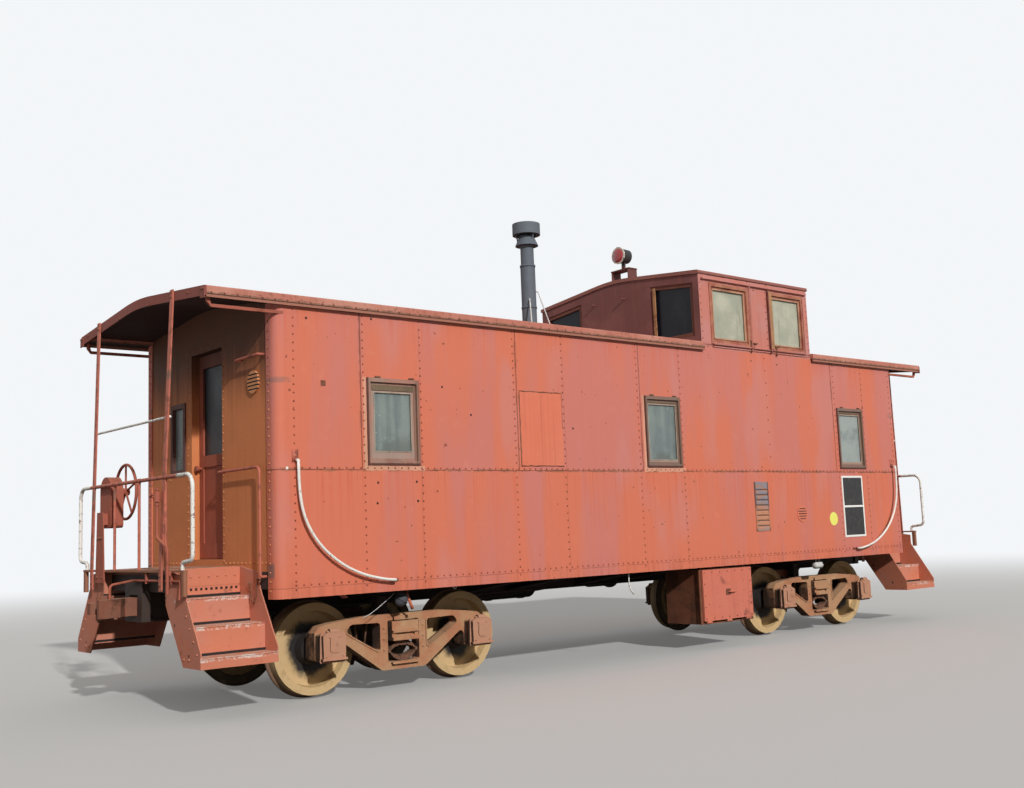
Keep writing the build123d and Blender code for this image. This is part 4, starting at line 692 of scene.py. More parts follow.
def windowTrim(look):
    # The frame paint with a flange darkened as painted shadow round the opening, and a browner right jamb as
    # painted shade
    material = oldPaint("window_frame_paint", look)
    shader = material.node_tree.nodes["Principled BSDF"]
    painted = Wire(material.node_tree, shader.inputs["Base Color"].links[0].from_socket)
    place = Wire(material.node_tree, material.node_tree.nodes.new("ShaderNodeTexCoord").outputs["Object"])
    along, level = axis(place, 0), axis(place, 2) - railTop
    reach = nearest(along, look["middles"])
    worn = cloud(place, 22.0, 3, 0.6) * 0.006
    # Painted shadow: the flange's outer edge and foot are darkened
    flange = rise(reach + worn, look["half"] - 0.002, look["half"] + 0.003)
    flange = flange.most(1 - rise(level - worn, look["low"] - 0.004, look["low"] + 0.003))
    rights = [middle + look["half"] for middle in look["middles"]]
    # Painted shade on the right jamb
    jamb = greatest([between(along, right - look["jambWidth"], right - 0.003, 0.003) for right in rights])
    painted = mixed(rise(along, *look["greyFrom"]) * 0.75, painted, look["greyer"])
    colour = mixed(jamb * 0.6, painted, look["jamb"])
    colour = mixed(flange * 0.85, colour, look["edge"])
    beside = greatest([between(along, right + 0.001, right + look["besideWidth"], 0.002) for right in rights])
    colour = mixed(beside * 0.85, colour, look["side"])
    return finishMaterial(material, {"Base Color": colour})


finishes["trim"] = windowTrim(trimLook)


# Trucks: tan dust on castings, paler on top, oily round the boxes, and painted shade underneath and inside

truckLook = {
    "tan": shade(178, 134, 98),
    "orange": shade(176, 118, 84),
    "pale": shade(200, 160, 122),
    "pink": shade(186, 134, 108),
    "dark": shade(78, 54, 40),
    "oil": shade(34, 27, 23),
    "rust": shade(124, 76, 52),
    "boxFrom": 1.115,
}


def truckDust(name, look, oily=0.5):
    # Tan dust with paler tops, a pink cast on the boxes, oil on faces across the car, and painted shade
    # inside and underneath
    material, place = startMaterial(name)
    across, facing = abs(axis(place, 1)), facingUp(place)
    big = cloud(place, 3.4, 5, 0.6)
    clouds = cloud(place, 11.0, 6, 0.66)
    grit = cloud(place, 75.0, 4, 0.7)
    colour = mixed(rise(big, 0.42, 0.60), look["tan"], look["orange"])
    colour = mixed(rise(clouds, 0.50, 0.70) * 0.55, colour, look["pale"])
    colour = mixed(rise(facing, 0.3, 0.9) * 0.5, colour, look["pale"])
    colour = mixed(rise(across, look["boxFrom"], look["boxFrom"] + 0.03) * 0.75, colour, look["pink"])
    colour = mixed(rise(clouds * 0.6 + big * 0.5, 0.60, 0.68) * 0.5, colour, look["rust"])
    # Painted shade inside the truck, between the side frames
    inner = 1 - rise(across, 0.925, 0.955)
    colour = mixed(inner * 0.8, colour, look["dark"])
    outwards = abs(axis(place.node("NewGeometry", {}, {}, 1), 1))
    sides = (1 - rise(outwards, 0.35, 0.75)) * (1 - rise(facing, 0.2, 0.6))
    boxSide = sides * rise(across, 1.045, 1.060)
    oiled = (sides * rise(big + clouds * 0.4, 0.52, 0.80) * oily).most(boxSide * 0.88)
    colour = mixed(oiled, colour, look["oil"])
    # Painted shade on faces turned downwards
    colour = mixed(rise(-1 * facing, 0.3, 0.9) * 0.85, colour, look["dark"])
    colour = mixed(rise(grit, 0.55, 0.75) * 0.25, colour, look["dark"])
    relief = clouds * 0.8 + grit * 0.35
    values = {"Base Color": colour, "Roughness": 0.75 + 0.2 * clouds, "Normal": bumped(relief, 0.6, 0.006)}
    return finishMaterial(material, values)


finishes["truck"] = truckDust("truck_dust", truckLook, 0.9)
finishes["spring"] = truckDust("spring_grime", dict(
    truckLook, tan=shade(98, 72, 54), orange=shade(104, 70, 52), pale=shade(136, 102, 78),
    dark=shade(36, 28, 24), boxFrom=9.0,
))
finishes["brake"] = truckDust("brake_grime", dict(
    truckLook, tan=shade(70, 52, 42), orange=shade(76, 54, 42), pale=shade(104, 80, 62),
    dark=shade(28, 22, 20), pink=shade(80, 58, 46), boxFrom=9.0,
))


wheelLook = {
    "truck": 3.296,
    "axle": 0.838,
    "height": 0.419 + railTop,
    "rim": shade(204, 172, 124),
    "plate": shade(160, 122, 84),
    "greaseAndShade": shade(30, 25, 23),
    "tread": shade(150, 112, 88),
    "hub": 0.200,
    "dusty": 0.275,
    "radius": 0.419,
}


def wheelSteel(look):
    # By distance from the axle: a greasy hub darkened further as painted shade, a dusty plate and rim, and a
    # bare tread
    material, place = startMaterial("wheel_steel")
    along, across, height = (axis(place, index) for index in range(3))
    sideways = abs(abs(abs(along) - look["truck"]) - look["axle"])
    up = height - look["height"]
    distance = (sideways ** 2.0 + up ** 2.0) ** 0.5
    smear = cloud(place, 9.0, 5, 0.65)
    ragged = cloud(place, 4.0, 5, 0.6)
    # Grease and painted shade: the hub's dark area stands for grease and the journal box's shadow
    dusty = rise(distance + (ragged - 0.5) * 0.22, look["hub"], look["dusty"])
    colour = mixed(dusty, look["greaseAndShade"], look["rim"])
    colour = mixed(rise(smear, 0.52, 0.70) * 0.45 * rise(distance, 0.24, 0.33), colour, look["plate"])
    colour = mixed(rise(distance, look["radius"] - 0.004, look["radius"] + 0.002), colour, look["tread"])
    # Grease and painted shade on the wheels' inner faces, between the wheels
    inner = 1 - rise(abs(across), 0.690, 0.715)
    colour = mixed(inner * 0.75, colour, look["greaseAndShade"])
    grain = cloud(place, 70.0, 4, 0.7)
    rough = 0.55 + 0.3 * smear
    normal = bumped(grain * 0.5 + smear, 0.4, 0.004)
    return finishMaterial(material, {"Base Color": colour, "Roughness": rough, "Normal": normal})


finishes["wheel"] = wheelSteel(wheelLook)


# Steps: painted shadow at the foot of each riser, worn grit on the treads and scuffed edges

stepLook = {
    "treads": ((0.491, 1.174), (0.727, 0.893), (0.950, 0.711)),
    "lips": ((0.491, 1.395), (0.727, 1.174), (0.950, 0.893)),
    # height of the painted shadow at each riser's foot; its colour is the black below
    "slot": 0.024,
    "grit": shade(190, 160, 138),
    "bare": shade(226, 214, 202),
    "black": shade(24, 15, 13),
    "paint": shade(200, 119, 90),
    "chalk": shade(196, 124, 100),
    "rust": shade(112, 62, 44),
    "stain": shade(160, 88, 66),
    "under": shade(60, 36, 30),
}


def stepPaint(look):
    # Paint with gritty tops, worn lips at each tread's front, painted black shadow at each riser's foot and
    # painted shade underneath
    material, place = startMaterial("step_paint")
    across, level = abs(axis(place, 1)), axis(place, 2) - railTop
    facing = facingUp(place)
    patches = cloud(place, 2.6, 4, 0.55)
    clouds = cloud(place, 9.0, 6, 0.66)
    grit = cloud(place, 60.0, 4, 0.75)
    colour = mixed(rise(patches, 0.42, 0.60), look["paint"], look["chalk"])
    colour = mixed(rise(clouds, 0.54, 0.74) * 0.35, colour, look["stain"])
    colour = mixed(rise(cloud(place, 5.0, 6, 0.7), 0.62, 0.68) * 0.45, colour, look["rust"])
    top = rise(facing, 0.7, 0.95)
    colour = mixed(top * rise(clouds, 0.30, 0.55) * 0.8, colour, look["grit"])
    colour = mixed(top * rise(grit, 0.52, 0.60) * rise(patches, 0.42, 0.58), colour, look["bare"])
    colour = mixed(top * rise(grit, 0.60, 0.66) * 0.7, colour, look["rust"])
    worn = greatest([
        between(level, tread - 0.030, tread + 0.01, 0.004) * rise(across, front - 0.012, front - 0.006)
        * (1 - rise(across, front + 0.010, front + 0.016))
        for tread, front in look["lips"]
    ])
    colour = mixed(worn * rise(grit * 0.5 + clouds * 0.5, 0.47, 0.56) * 0.8, colour, look["bare"])
    # Painted shadow: a black band at each riser's foot, standing for the gap above the tread below
    slots = greatest([
        between(level, tread + 0.001, tread + look["slot"], 0.0015)
        * (1 - rise(abs(across - back), 0.008, 0.012))
        for tread, back in look["treads"]
    ])
    colour = mixed(slots * (1 - top), colour, look["black"])
    # Painted shade on faces turned downwards
    colour = mixed(rise(-1 * facing, 0.3, 0.9) * 0.9, colour, look["under"])
    relief = clouds * 0.6 + grit * 0.3 * top
    values = {"Base Color": colour, "Roughness": 0.62 + 0.25 * clouds, "Normal": bumped(relief, 0.4, 0.004)}
    return finishMaterial(material, values)


finishes["steps"] = stepPaint(stepLook)


# Railings and grab irons: chipped white paint on the outer loops, red elsewhere

railLook = {
    "white": shade(232, 228, 218),
    "red": shade(186, 102, 80),
    "rust": shade(112, 64, 46),
    "ironFrom": 1.44,  # grab irons further out than this are the white ones
    "loopFrom": 1.00,
    "patch": shade(120, 92, 74),
}


def railPaint(name, look, whiteFrom, chipped=0.56):
    # Chipped white further out than whiteFrom, and patchy red nearer the middle
    material, place = startMaterial(name)
    across = abs(axis(place, 1))
    white = rise(across, whiteFrom - 0.02, whiteFrom + 0.02)
    chips = rise(cloud(place, 26.0, 5, 0.7), chipped, chipped + 0.04)
    wear = cloud(place, 12.0, 4, 0.6)
    bare = mixed(rise(wear, 0.48, 0.68) * 0.8, look["red"], look["rust"])
    bands = cloud(place, 1.0, 3, 0.6, (0.4, 0.4, 5.0))
    bare = mixed(rise(bands, 0.60, 0.68) * 0.7, bare, look["patch"])
    painted = mixed(chips * 0.8, look["white"], look["rust"])
    colour = mixed(white, bare, painted)
    normal = bumped(wear + chips * -0.6, 0.3, 0.002)
    return finishMaterial(material, {"Base Color": colour, "Roughness": 0.5 + 0.3 * wear, "Normal": normal})


finishes["grab"] = railPaint("grab_iron_paint", railLook, railLook["ironFrom"], 0.60)
finishes["railing"] = railPaint("railing_paint", railLook, railLook["loopFrom"])
finishes["whiteRod"] = railPaint("white_rod_paint", railLook, -1.0)


# Glass: dusty screens on the sides, pale panes in the cupola's sides, and nearly black panes as painted shade
# in its ends and doors

glassLook = {
    "tint": shade(84, 98, 98),
    "dust": shade(118, 128, 122),
    "dirt": shade(58, 62, 56),
    "light": shade(166, 172, 166),
    "lightFrom": 3.4,
    "endDirt": shade(60, 60, 66),
    "shine": 0.25,
    "weave": 24.0,
    "weaveTurns": (0.785, -0.785),
}


def screenedGlass(look):
    # Dust in bands, dirt at the foot, and two sets of slanted threads for the screen
    material, place = startMaterial("screened_glass")
    film = cloud(place, 3.2, 5, 0.6)
    blots = cloud(place, 5.5, 3, 0.5)
    bands = cloud(place, 1.0, 3, 0.5, (16, 16, 1.0))
    low = 1 - rise(axis(place, 2) + blots * 0.16, 2.36, 2.50)
    colour = mixed(rise(film * 0.5 + bands * 0.5, 0.42, 0.60), look["tint"], look["dust"])
    colour = mixed(low * rise(blots, 0.40, 0.54) * 0.7, colour, look["dirt"])
    colour = mixed(rise(cloud(place, 30.0, 2, 0.5), 0.70, 0.74) * 0.8, colour, look["light"])
    pale = rise(axis(place, 0), look["lightFrom"], look["lightFrom"] + 0.05) * rise(film, 0.30, 0.55)
    colour = mixed(pale * 0.75, colour, look["light"])
    waves = []
    for turn in look["weaveTurns"]:
        turned = place.node("Mapping", {}, {"Vector": place, "Rotation": (0, turn, 0)})
        waves.append(turned.node("TexWave", {}, {"Vector": turned, "Scale": look["weave"]}, 1))
    threads = greatest(waves)
    colour = mixed(rise(threads, 0.55, 0.95) * 0.38, colour, look["light"])
    colour = mixed((1 - rise(threads, 0.1, 0.5)) * 0.45, colour, look["dirt"])
    normal = bumped(threads, 0.3, 0.001)
    return finishMaterial(material, {"Base Color": colour, "Roughness": 0.30 + 0.35 * film, "Normal": normal})


def dustyGlass(name, look, dustShare, endShadeTint=None, ends=(0.9, 2.85)):
    # A film of dust with streaks, and another tint on panes beyond the two ends, used as painted shade
    material, place = startMaterial(name)
    film = cloud(place, 3.2, 5, 0.6)
    streak = cloud(place, 1.0, 4, 0.6, (18, 18, 2.2))
    colour = mixed(rise(film, 0.35, 0.7) * dustShare, look["tint"], look["dust"])
    colour = mixed(rise(streak, 0.55, 0.75) * 0.4, colour, look["dirt"])
    # Painted shade: the end panes take a nearly black tint for the dark room behind them
    if endShadeTint:
        atEnd = outside(axis(place, 0), *ends, 0.01)
        colour = mixed(atEnd, colour, mixed(rise(film, 0.50, 0.75) * 0.3, endShadeTint, look["endDirt"]))
    values = {"Base Color": colour, "Roughness": 0.20 + 0.35 * film, "Specular IOR Level": look["shine"]}
    return finishMaterial(material, values)


finishes["glass"] = screenedGlass(glassLook)
finishes["cupolaGlass"] = dustyGlass("cupola_glass", dict(
    glassLook, tint=shade(160, 160, 142), dust=shade(192, 188, 166), dirt=shade(120, 118, 102),
), 0.8, shade(9, 11, 22))
# Nearly black panes: painted shade of the dark room behind the door
finishes["doorGlass"] = dustyGlass("door_glass", dict(
    glassLook, tint=shade(12, 14, 20), dust=shade(28, 30, 36), dirt=shade(12, 12, 14), shine=0.2,
), 0.5)


plateLook = {
    "white": shade(236, 234, 226),
    "black": shade(40, 38, 38),
    "greyed": shade(92, 86, 82),
    "stained": shade(196, 164, 146),
    "panels": ((3.455, 3.874, 1.195, 1.5565), (3.455, 3.874, 1.5815, 1.943)),
}


def plateFinish(look):
    # A white plate with two black panels, both worn
    material, place = startMaterial("data_plate")
    along, height = abs(axis(place, 0)), axis(place, 2) - railTop
    inside = greatest([between(along, x0, x1, 0.001) * between(height, z0, z1, 0.001)
                       for x0, x1, z0, z1 in look["panels"]])
    wear = cloud(place, 16.0, 5, 0.65)
    black = mixed(rise(wear, 0.45, 0.75) * 0.35, look["black"], look["greyed"])
    white = mixed(rise(wear, 0.58, 0.74) * 0.35, look["white"], look["stained"])
    colour = mixed(inside, white, black)
    return finishMaterial(material, {"Base Color": colour, "Roughness": 0.5 + 0.2 * wear})


finishes["plate"] = plateFinish(plateLook)


ventLook = {
    "louvre": (1.60, 1.90, 1.28, 1.91),
    "slatShadows": tuple(1.3654 + 0.062 * index for index in range(8)),
    "tan": shade(168, 122, 98),
    "blue": shade(136, 128, 134),
    "orange": shade(200, 134, 98),
    "dark": shade(86, 58, 46),
    "paint": shade(212, 118, 90),
    "slots": shade(92, 46, 36),
    "endPaint": shade(206, 138, 88),
    "endFrom": 4.5,
    "endSlots": (2.756, 2.789, 2.822, 2.855, 2.888),
    "black": shade(20, 12, 10),
}


def ventFinish(look):
    # Bare louvre with painted shade under its slats, painted disc beside it, and pale end vent rims with
    # painted shade in their slots
    material, place = startMaterial("vents")
    along, level = axis(place, 0), axis(place, 2) - railTop
    x0, x1, z0, z1 = look["louvre"]
    here = between(along, x0, x1, 0.002) * between(level, z0, z1, 0.002)
    wear = cloud(place, 12.0, 5, 0.65)
    rows = cloud(place, 1.0, 3, 0.6, (6.0, 6.0, 24.0))
    metal = mixed(rise(rows, 0.44, 0.56), look["tan"], look["blue"])
    metal = mixed((1 - between(along, x0 + 0.038, x1 - 0.042, 0.004)) * 0.75, metal, look["dark"])
    middle = rise(level + wear * 0.2, 1.38, 1.48) * rise(-1 * level, -1.62, -1.52)
    metal = mixed(middle * 0.7, metal, look["orange"])
    metal = mixed(rise(wear, 0.56, 0.72) * 0.6, metal, look["dark"])
    # Painted shade: a dark line under each slat
    slatShadows = 1 - rise(nearest(level, look["slatShadows"]), 0.006, 0.012)
    metal = mixed(slatShadows * between(along, x0 + 0.036, x1 - 0.040, 0.004) * 0.8, metal, look["dark"])
    colour = mixed(here, look["paint"], metal)
    colour = mixed(rise(wear, 0.55, 0.75) * 0.4, colour, look["slots"])
    atEnd = rise(abs(along), look["endFrom"], look["endFrom"] + 0.01)
    colour = mixed(atEnd * (1 - rise(wear, 0.55, 0.75) * 0.4), colour, look["endPaint"])
    # Painted shade: black in the end vents' slots
    slotShadows = 1 - rise(nearest(level, look["endSlots"]), 0.0055, 0.0075)
    colour = mixed(atEnd * slotShadows, colour, look["black"])
    normal = bumped(wear, 0.3, 0.003)
    return finishMaterial(material, {"Base Color": colour, "Roughness": 0.6 + 0.2 * wear, "Normal": normal})


finishes["vent"] = ventFinish(ventLook)


lampLook = {
    "lensMiddle": (0, 0.068, -4.9104),  # brings the ribs' middle to the lens
    "ribScale": 22.0,
    "red": shade(164, 16, 18),
    "deepRed": shade(116, 10, 14),
    "shell": shade(206, 198, 184),
    "worn": shade(60, 56, 54),
    "back": shade(40, 38, 38),
    "backFrom": 0.862,
    "foot": shade(96, 52, 46),
    "footTop": 4.775,
}


def lampLens(look):
    # Two reds in a cloud, and ribs in rings round the lens
    material, place = startMaterial("red_lens")
    centred = place.node("Mapping", {}, {"Vector": place, "Location": look["lensMiddle"]})
    settings = {"wave_type": "RINGS", "rings_direction": "X"}
    ribs = centred.node("TexWave", settings, {"Vector": centred, "Scale": look["ribScale"]})
    colour = mixed(rise(cloud(place, 30.0, 3), 0.4, 0.7) * 0.4, look["red"], look["deepRed"])
    values = {"Base Color": colour, "Roughness": 0.12, "Coat Weight": 0.6, "Normal": bumped(ribs, 0.3, 0.003)}
    return finishMaterial(material, values)


def lampShell(look):
    # Worn pale shell, darker at the back, on a painted foot
    material, place = startMaterial("lamp_shell")
    wear = cloud(place, 14.0, 5, 0.65)
    low = 1 - rise(axis(place, 2), look["footTop"], look["footTop"] + 0.010)
    colour = mixed(rise(wear, 0.58, 0.64), look["shell"], look["worn"])
    colour = mixed(rise(axis(place, 0), look["backFrom"], look["backFrom"] + 0.006), colour, look["back"])
    colour = mixed(low, colour, look["foot"])
    return finishMaterial(material, {"Base Color": colour, "Roughness": 0.5 + 0.3 * wear})


finishes["lens"] = lampLens(lampLook)
finishes["lamp"] = lampShell(lampLook)

nodeFinish = {
    "side": ("side_wall_near", "side_wall_far"),
    "end": ("end_wall_a", "end_wall_b"),
    "door": ("door_a", "door_b"),
    "doorGlass": ("door_glass_a", "door_glass_b"),
    "roof": ("main_roof", "cupola_roof"),
    "endAngle": ("roof_end_angles",),
    "cupola": ("cupola_walls", "cupola_trim"),
    "wood": ("cupola_sashes",),
    "cupolaGlass": ("cupola_glass",),
    "trim": ("window_frames",),
    "glass": ("window_glass",),
    "deck": ("cabin_floor", "platform_decks"),
    "underframe": ("underframe", "air_reservoir", "brake_cylinder"),
    "steps": ("steps_a", "steps_b"),
    "step": (
        "brake_stand_a", "brake_stand_b", "handwheel_a", "handwheel_b", "valve_pipes", "uncoupling_levers",
        "canopy_bars",
    ),
    "box": ("battery_box",),
    "boxDoor": ("battery_door",),
    "vent": ("vents",),
    "grab": ("grab_irons",),
    "railing": ("end_railing_a", "end_railing_b"),
    "whiteRod": ("post_rods",),
    "plate": ("data_plates",),
    "pipe": ("chimney",),
    "lamp": ("marker_light",),
    "lens": ("marker_lens",),
    "coupler": ("coupler_a", "coupler_b", "knuckle_a", "knuckle_b"),
    "wheel": ("wheelset_a1", "wheelset_a2", "wheelset_b1", "wheelset_b2"),
    "truck": tuple(f"truck_{end}_{part}" for end in "ab" for part in ("side_frames", "bolster")),
    "spring": ("truck_a_springs", "truck_b_springs"),
    "brake": ("truck_a_brakes", "truck_b_brakes"),
}


def dressNodes():
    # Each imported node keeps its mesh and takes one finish
    for finish, names in nodeFinish.items():
        for name in names:
            data = nodes[name].data
            data.materials.clear()
            data.materials.append(finishes[finish])
            data.polygons.foreach_set("material_index", np.zeros(len(data.polygons), np.int32))


dressNodes()
dressed = sum(len(names) for names in nodeFinish.values())
print("finishes on", dressed, "of", len(nodes), "nodes")


# Shapes as arrays: each returns its points and its faces


def ringFaces(rings, sides):
    # Four-cornered faces between each ring of points and the next
    near = np.arange(sides)
    beside = (near + 1) % sides
    steps = np.arange(rings - 1)[:, None] * sides
    corners = [steps + near, steps + beside, steps + sides + beside, steps + sides + near]
    return np.stack(corners, 2).reshape(-1, 4)


def domes(spots, normals, radius, height, sides=8, angles=(0, 38, 66)):
    # Rings at rising angles, radius * cos and height * sin, closed by a pole along each spot's normal
    spots = np.asarray(spots, float)
    normals = np.broadcast_to(np.asarray(normals, float), spots.shape)
    angles = np.radians(angles)
    around = np.arange(sides) * 2 * math.pi / sides
    ring = np.stack([
        np.outer(np.cos(angles), np.cos(around)).ravel() * radius,
        np.outer(np.cos(angles), np.sin(around)).ravel() * radius,
        np.repeat(np.sin(angles), sides) * height,
    ], 1)
    ring = np.vstack([ring, [0, 0, height]])
    helper = np.where(np.abs(normals[:, 2:]) > 0.9, [[1.0, 0, 0]], [[0, 0, 1.0]])
    first = np.cross(helper, normals)
    first /= np.linalg.norm(first, axis=1, keepdims=True)
    second = np.cross(normals, first)
    basis = np.stack([first, second, normals], 1)
    points = spots[:, None] + np.einsum("pk,nkc->npc", ring, basis)
    near = np.arange(sides)
    top = (len(angles) - 1) * sides
    caps = np.stack([top + near, top + (near + 1) % sides, np.full(sides, len(ring) - 1)], 1)
    shift = np.arange(len(spots))[:, None, None] * len(ring)
    quads = (ringFaces(len(angles), sides)[None] + shift).reshape(-1, 4)
    tips = (caps[None] + shift).reshape(-1, 3)
    return points.reshape(-1, 3), quads.tolist() + tips.tolist()


def bolts(spots, normal, radius=0.014, height=0.012):
    # Six-sided heads: an upright ring, then nearly flat to the pole
    return domes(spots, normal, radius, height, 6, (0, 30))


def slabs(boxes):
    # Closed boxes from rows of x0, x1, y0, y1, z0, z1
    rows = np.asarray(boxes, float)
    rows = np.stack([np.sort(rows[:, 2 * k:2 * k + 2], axis=1) for k in range(3)], 1).reshape(-1, 6)
    pick = np.array([[x, y, z] for z in (0, 1) for y in (0, 1) for x in (0, 1)])
    points = np.stack([rows[:, 0 + pick[:, 0]], rows[:, 2 + pick[:, 1]], rows[:, 4 + pick[:, 2]]], 2)
    shape = np.array([[0, 2, 3, 1], [4, 5, 7, 6], [0, 1, 5, 4], [2, 6, 7, 3], [0, 4, 6, 2], [1, 3, 7, 5]])
    faces = (shape[None] + np.arange(len(rows))[:, None, None] * 8).reshape(-1, 4)
    return points.reshape(-1, 3), faces.tolist()


def tube(path, radius, sides=8):
    # A ring carried along a path, centre + radius * (cos a * first + sin a * second), with closed ends
    path = np.asarray(path, float)
    along = np.gradient(path, axis=0)
    along /= np.linalg.norm(along, axis=1, keepdims=True)
    carried = np.cross(along[0], [0.31, 0.53, 0.79])
    firsts = []
    for ahead in along:
        carried = carried - ahead * (carried @ ahead)
        carried /= np.linalg.norm(carried)
        firsts.append(carried)
    firsts = np.array(firsts)
    seconds = np.cross(along, firsts)
    around = np.arange(sides) * 2 * math.pi / sides
    spokes = (np.cos(around)[None, :, None] * firsts[:, None]
              + np.sin(around)[None, :, None] * seconds[:, None])
    radii = np.broadcast_to(np.asarray(radius, float), (len(path),))
    points = path[:, None] + spokes * radii[:, None, None]
    last = (len(path) - 1) * sides
    ends = [list(range(sides))[::-1], list(range(last, last + sides))]
    return points.reshape(-1, 3), ringFaces(len(path), sides).tolist() + ends


def lathe(profile, centre, direction, sides=28):
    # Each (along, radius) pair turned once round the direction through the centre
    profile = np.asarray(profile, float)
    direction = np.asarray(direction, float)
    first = np.cross(direction, [0.31, 0.53, 0.79])
    first /= np.linalg.norm(first)
    second = np.cross(direction, first)
    around = np.arange(sides) * 2 * math.pi / sides
    spokes = np.cos(around)[:, None] * first + np.sin(around)[:, None] * second
    points = np.asarray(centre) + profile[:, None, :1] * direction + profile[:, None, 1:] * spokes[None]
    return points.reshape(-1, 3), ringFaces(len(profile), sides).tolist()


def ribbon(places, lows, highs, back, front, upright=False):
    # A flat strip with ragged long edges: four corners carried along X, or along Z when upright
    count = len(places)
    corners = []
    for edge, depth in ((lows, back), (lows, front), (highs, front), (highs, back)):
        row = (edge, np.full(count, depth), places) if upright else (places, np.full(count, depth), edge)
        corners.append(np.stack(row, 1))
    last = 4 * (count - 1)
    ends = [[3, 2, 1, 0], list(range(last, last + 4))]
    return np.stack(corners, 1).reshape(-1, 3), ringFaces(count, 4).tolist() + ends


def chain(path, ring, wire, sides=10, thick=5):
    # Stadium links along a path, each turned a quarter from the last: a torus stretched along its run
    path = np.asarray(path, float)
    runs = np.diff(path, axis=0)
    lengths = np.concatenate([[0], np.cumsum(np.linalg.norm(runs, axis=1))])
    count = max(2, int(lengths[-1] / (ring * 2.1)))
    marks = (np.arange(count) + 0.5) / count * lengths[-1]
    centres = np.stack([np.interp(marks, lengths, path[:, k]) for k in range(3)], 1)
    ahead = np.gradient(centres, axis=0)
    ahead /= np.linalg.norm(ahead, axis=1, keepdims=True)
    side = np.cross(ahead, [1.0, 0.2, 0.1])
    side /= np.linalg.norm(side, axis=1, keepdims=True)
    turn = np.where(np.arange(count) % 2, 0.3, 1.87)[:, None]
    flat = side * np.cos(turn) + np.cross(ahead, side) * np.sin(turn)
    normal = np.cross(ahead, flat)
    a = (np.arange(sides) * 2 * math.pi / sides)[None, :, None, None]
    b = (np.arange(thick) * 2 * math.pi / thick)[None, None, :, None]
    link = 1.35 * np.cos(a) * ahead[:, None, None] + 0.75 * np.sin(a) * flat[:, None, None]
    points = centres[:, None, None] + (ring + wire * np.cos(b)) * link
    points = points + wire * np.sin(b) * normal[:, None, None]
    i, j = np.meshgrid(np.arange(sides), np.arange(thick), indexing="ij")
    nextI, nextJ = (i + 1) % sides, (j + 1) % thick
    faces = np.stack([i * thick + j, nextI * thick + j, nextI * thick + nextJ, i * thick + nextJ], 2)
    faces = faces.reshape(1, -1, 4) + (np.arange(count) * sides * thick)[:, None, None]
    return points.reshape(-1, 3), faces.reshape(-1, 4).tolist()


def rounded(points, passes=3):
    # Each pass cuts the corners at a quarter and three quarters of every run, and keeps both ends
    path = np.asarray(points, float)
    for _ in range(passes):
        near, far = path[:-1] * 0.75 + path[1:] * 0.25, path[:-1] * 0.25 + path[1:] * 0.75
        path = np.vstack([path[:1], np.stack([near, far], 1).reshape(-1, 3)[1:-1], path[-1:]])
    return path


def joined(shapes):
    # Several shapes as one, each one's faces counted on from the points before it
    points, faces, count = [], [], 0
    for spots, sides in shapes:
        points.append(spots)
        faces += [[index + count for index in side] for side in sides]
        count += len(spots)
    return np.vstack(points), faces


def turnedEnd(shape):
    # The like shape at the other end, turned half round the car's upright middle line
    points, faces = shape
    return points * [-1, -1, 1], faces


def acrossCar(shape):
    # The like shape on the other side, with its faces turned back outwards
    points, faces = shape
    return points * [1, -1, 1], [face[::-1] for face in faces]


def addPiece(name, shape, finish, slot, body="carbody", smooth=False, bevel=0.0):
    points, faces = shape
    mesh = bpy.data.meshes.new(name)
    mesh.from_pydata((points + [0, 0, railTop]).tolist(), [], faces)
    tidy = bmesh.new()
    tidy.from_mesh(mesh)
    bmesh.ops.remove_doubles(tidy, verts=tidy.verts, dist=1e-5)
    bmesh.ops.recalc_face_normals(tidy, faces=tidy.faces)
    tidy.to_mesh(mesh)
    tidy.free()
    mesh.materials.append(finishes[finish])
    mesh.polygons.foreach_set("use_smooth", np.full(len(mesh.polygons), smooth))
    piece = bpy.data.objects.new(name, mesh)
    bpy.context.scene.collection.objects.link(piece)
    if bevel:
        edges = piece.modifiers.new("edges", "BEVEL")
        edges.width = bevel
        edges.segments = 2
    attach(piece, body)
    return piece


def addEnds(name, shape, finish, slot, **settings):
    # The piece at end a and its like at end b
    addPiece(f"{name}_a", shape, finish, slot, **settings)
    addPiece(f"{name}_b", turnedEnd(shape), finish, slot, **settings)


def rows(start, stop, pitch):
    # Even places from start to stop, as near to the pitch as comes out whole
    count = max(2, int(round(abs(stop - start) / pitch)) + 1)
    return np.linspace(start, stop, count)


def onSide(flat, side, face):
    # Rows of x and z, set on a face along the car
    flat = np.asarray(flat, float)
    return np.stack([flat[:, 0], np.full(len(flat), side * face), flat[:, 1]], 1)


def onEnd(flat, face):
    # Rows of y and z, set on a face across end a
    flat = np.asarray(flat, float)
    return np.stack([np.full(len(flat), -face), flat[:, 0], flat[:, 1]], 1)


# Sizes of the shell that the small pieces sit on

shell = {
    "face": 1.406,
    "endFace": 4.804,
    "cornerFace": 4.816,
    "windows": (-3.590, 0.070, 3.722),
    "windowLow": 2.077,
    "windowHigh": 2.850,
    "windowHalf": 0.280,
    "lip": 0.045,
    "roofHalf": 1.457,
    "eave": 3.550,
    "rise": 0.143,
    "ridge": 3.0,
}


def roofLevel(across):
    # The two slopes, rounded where they meet by a circle that touches both
    slope = shell["rise"] / shell["roofHalf"]
    lean = math.atan(slope)
    top = shell["eave"] + shell["rise"]
    plane = top - slope * np.abs(across)
    crown = top - shell["ridge"] / math.cos(lean) + np.sqrt(shell["ridge"] ** 2 - np.square(across))
    return np.where(np.abs(across) < shell["ridge"] * math.sin(lean), crown, plane)


# Rivets on the side sheets, the corner posts and the belt

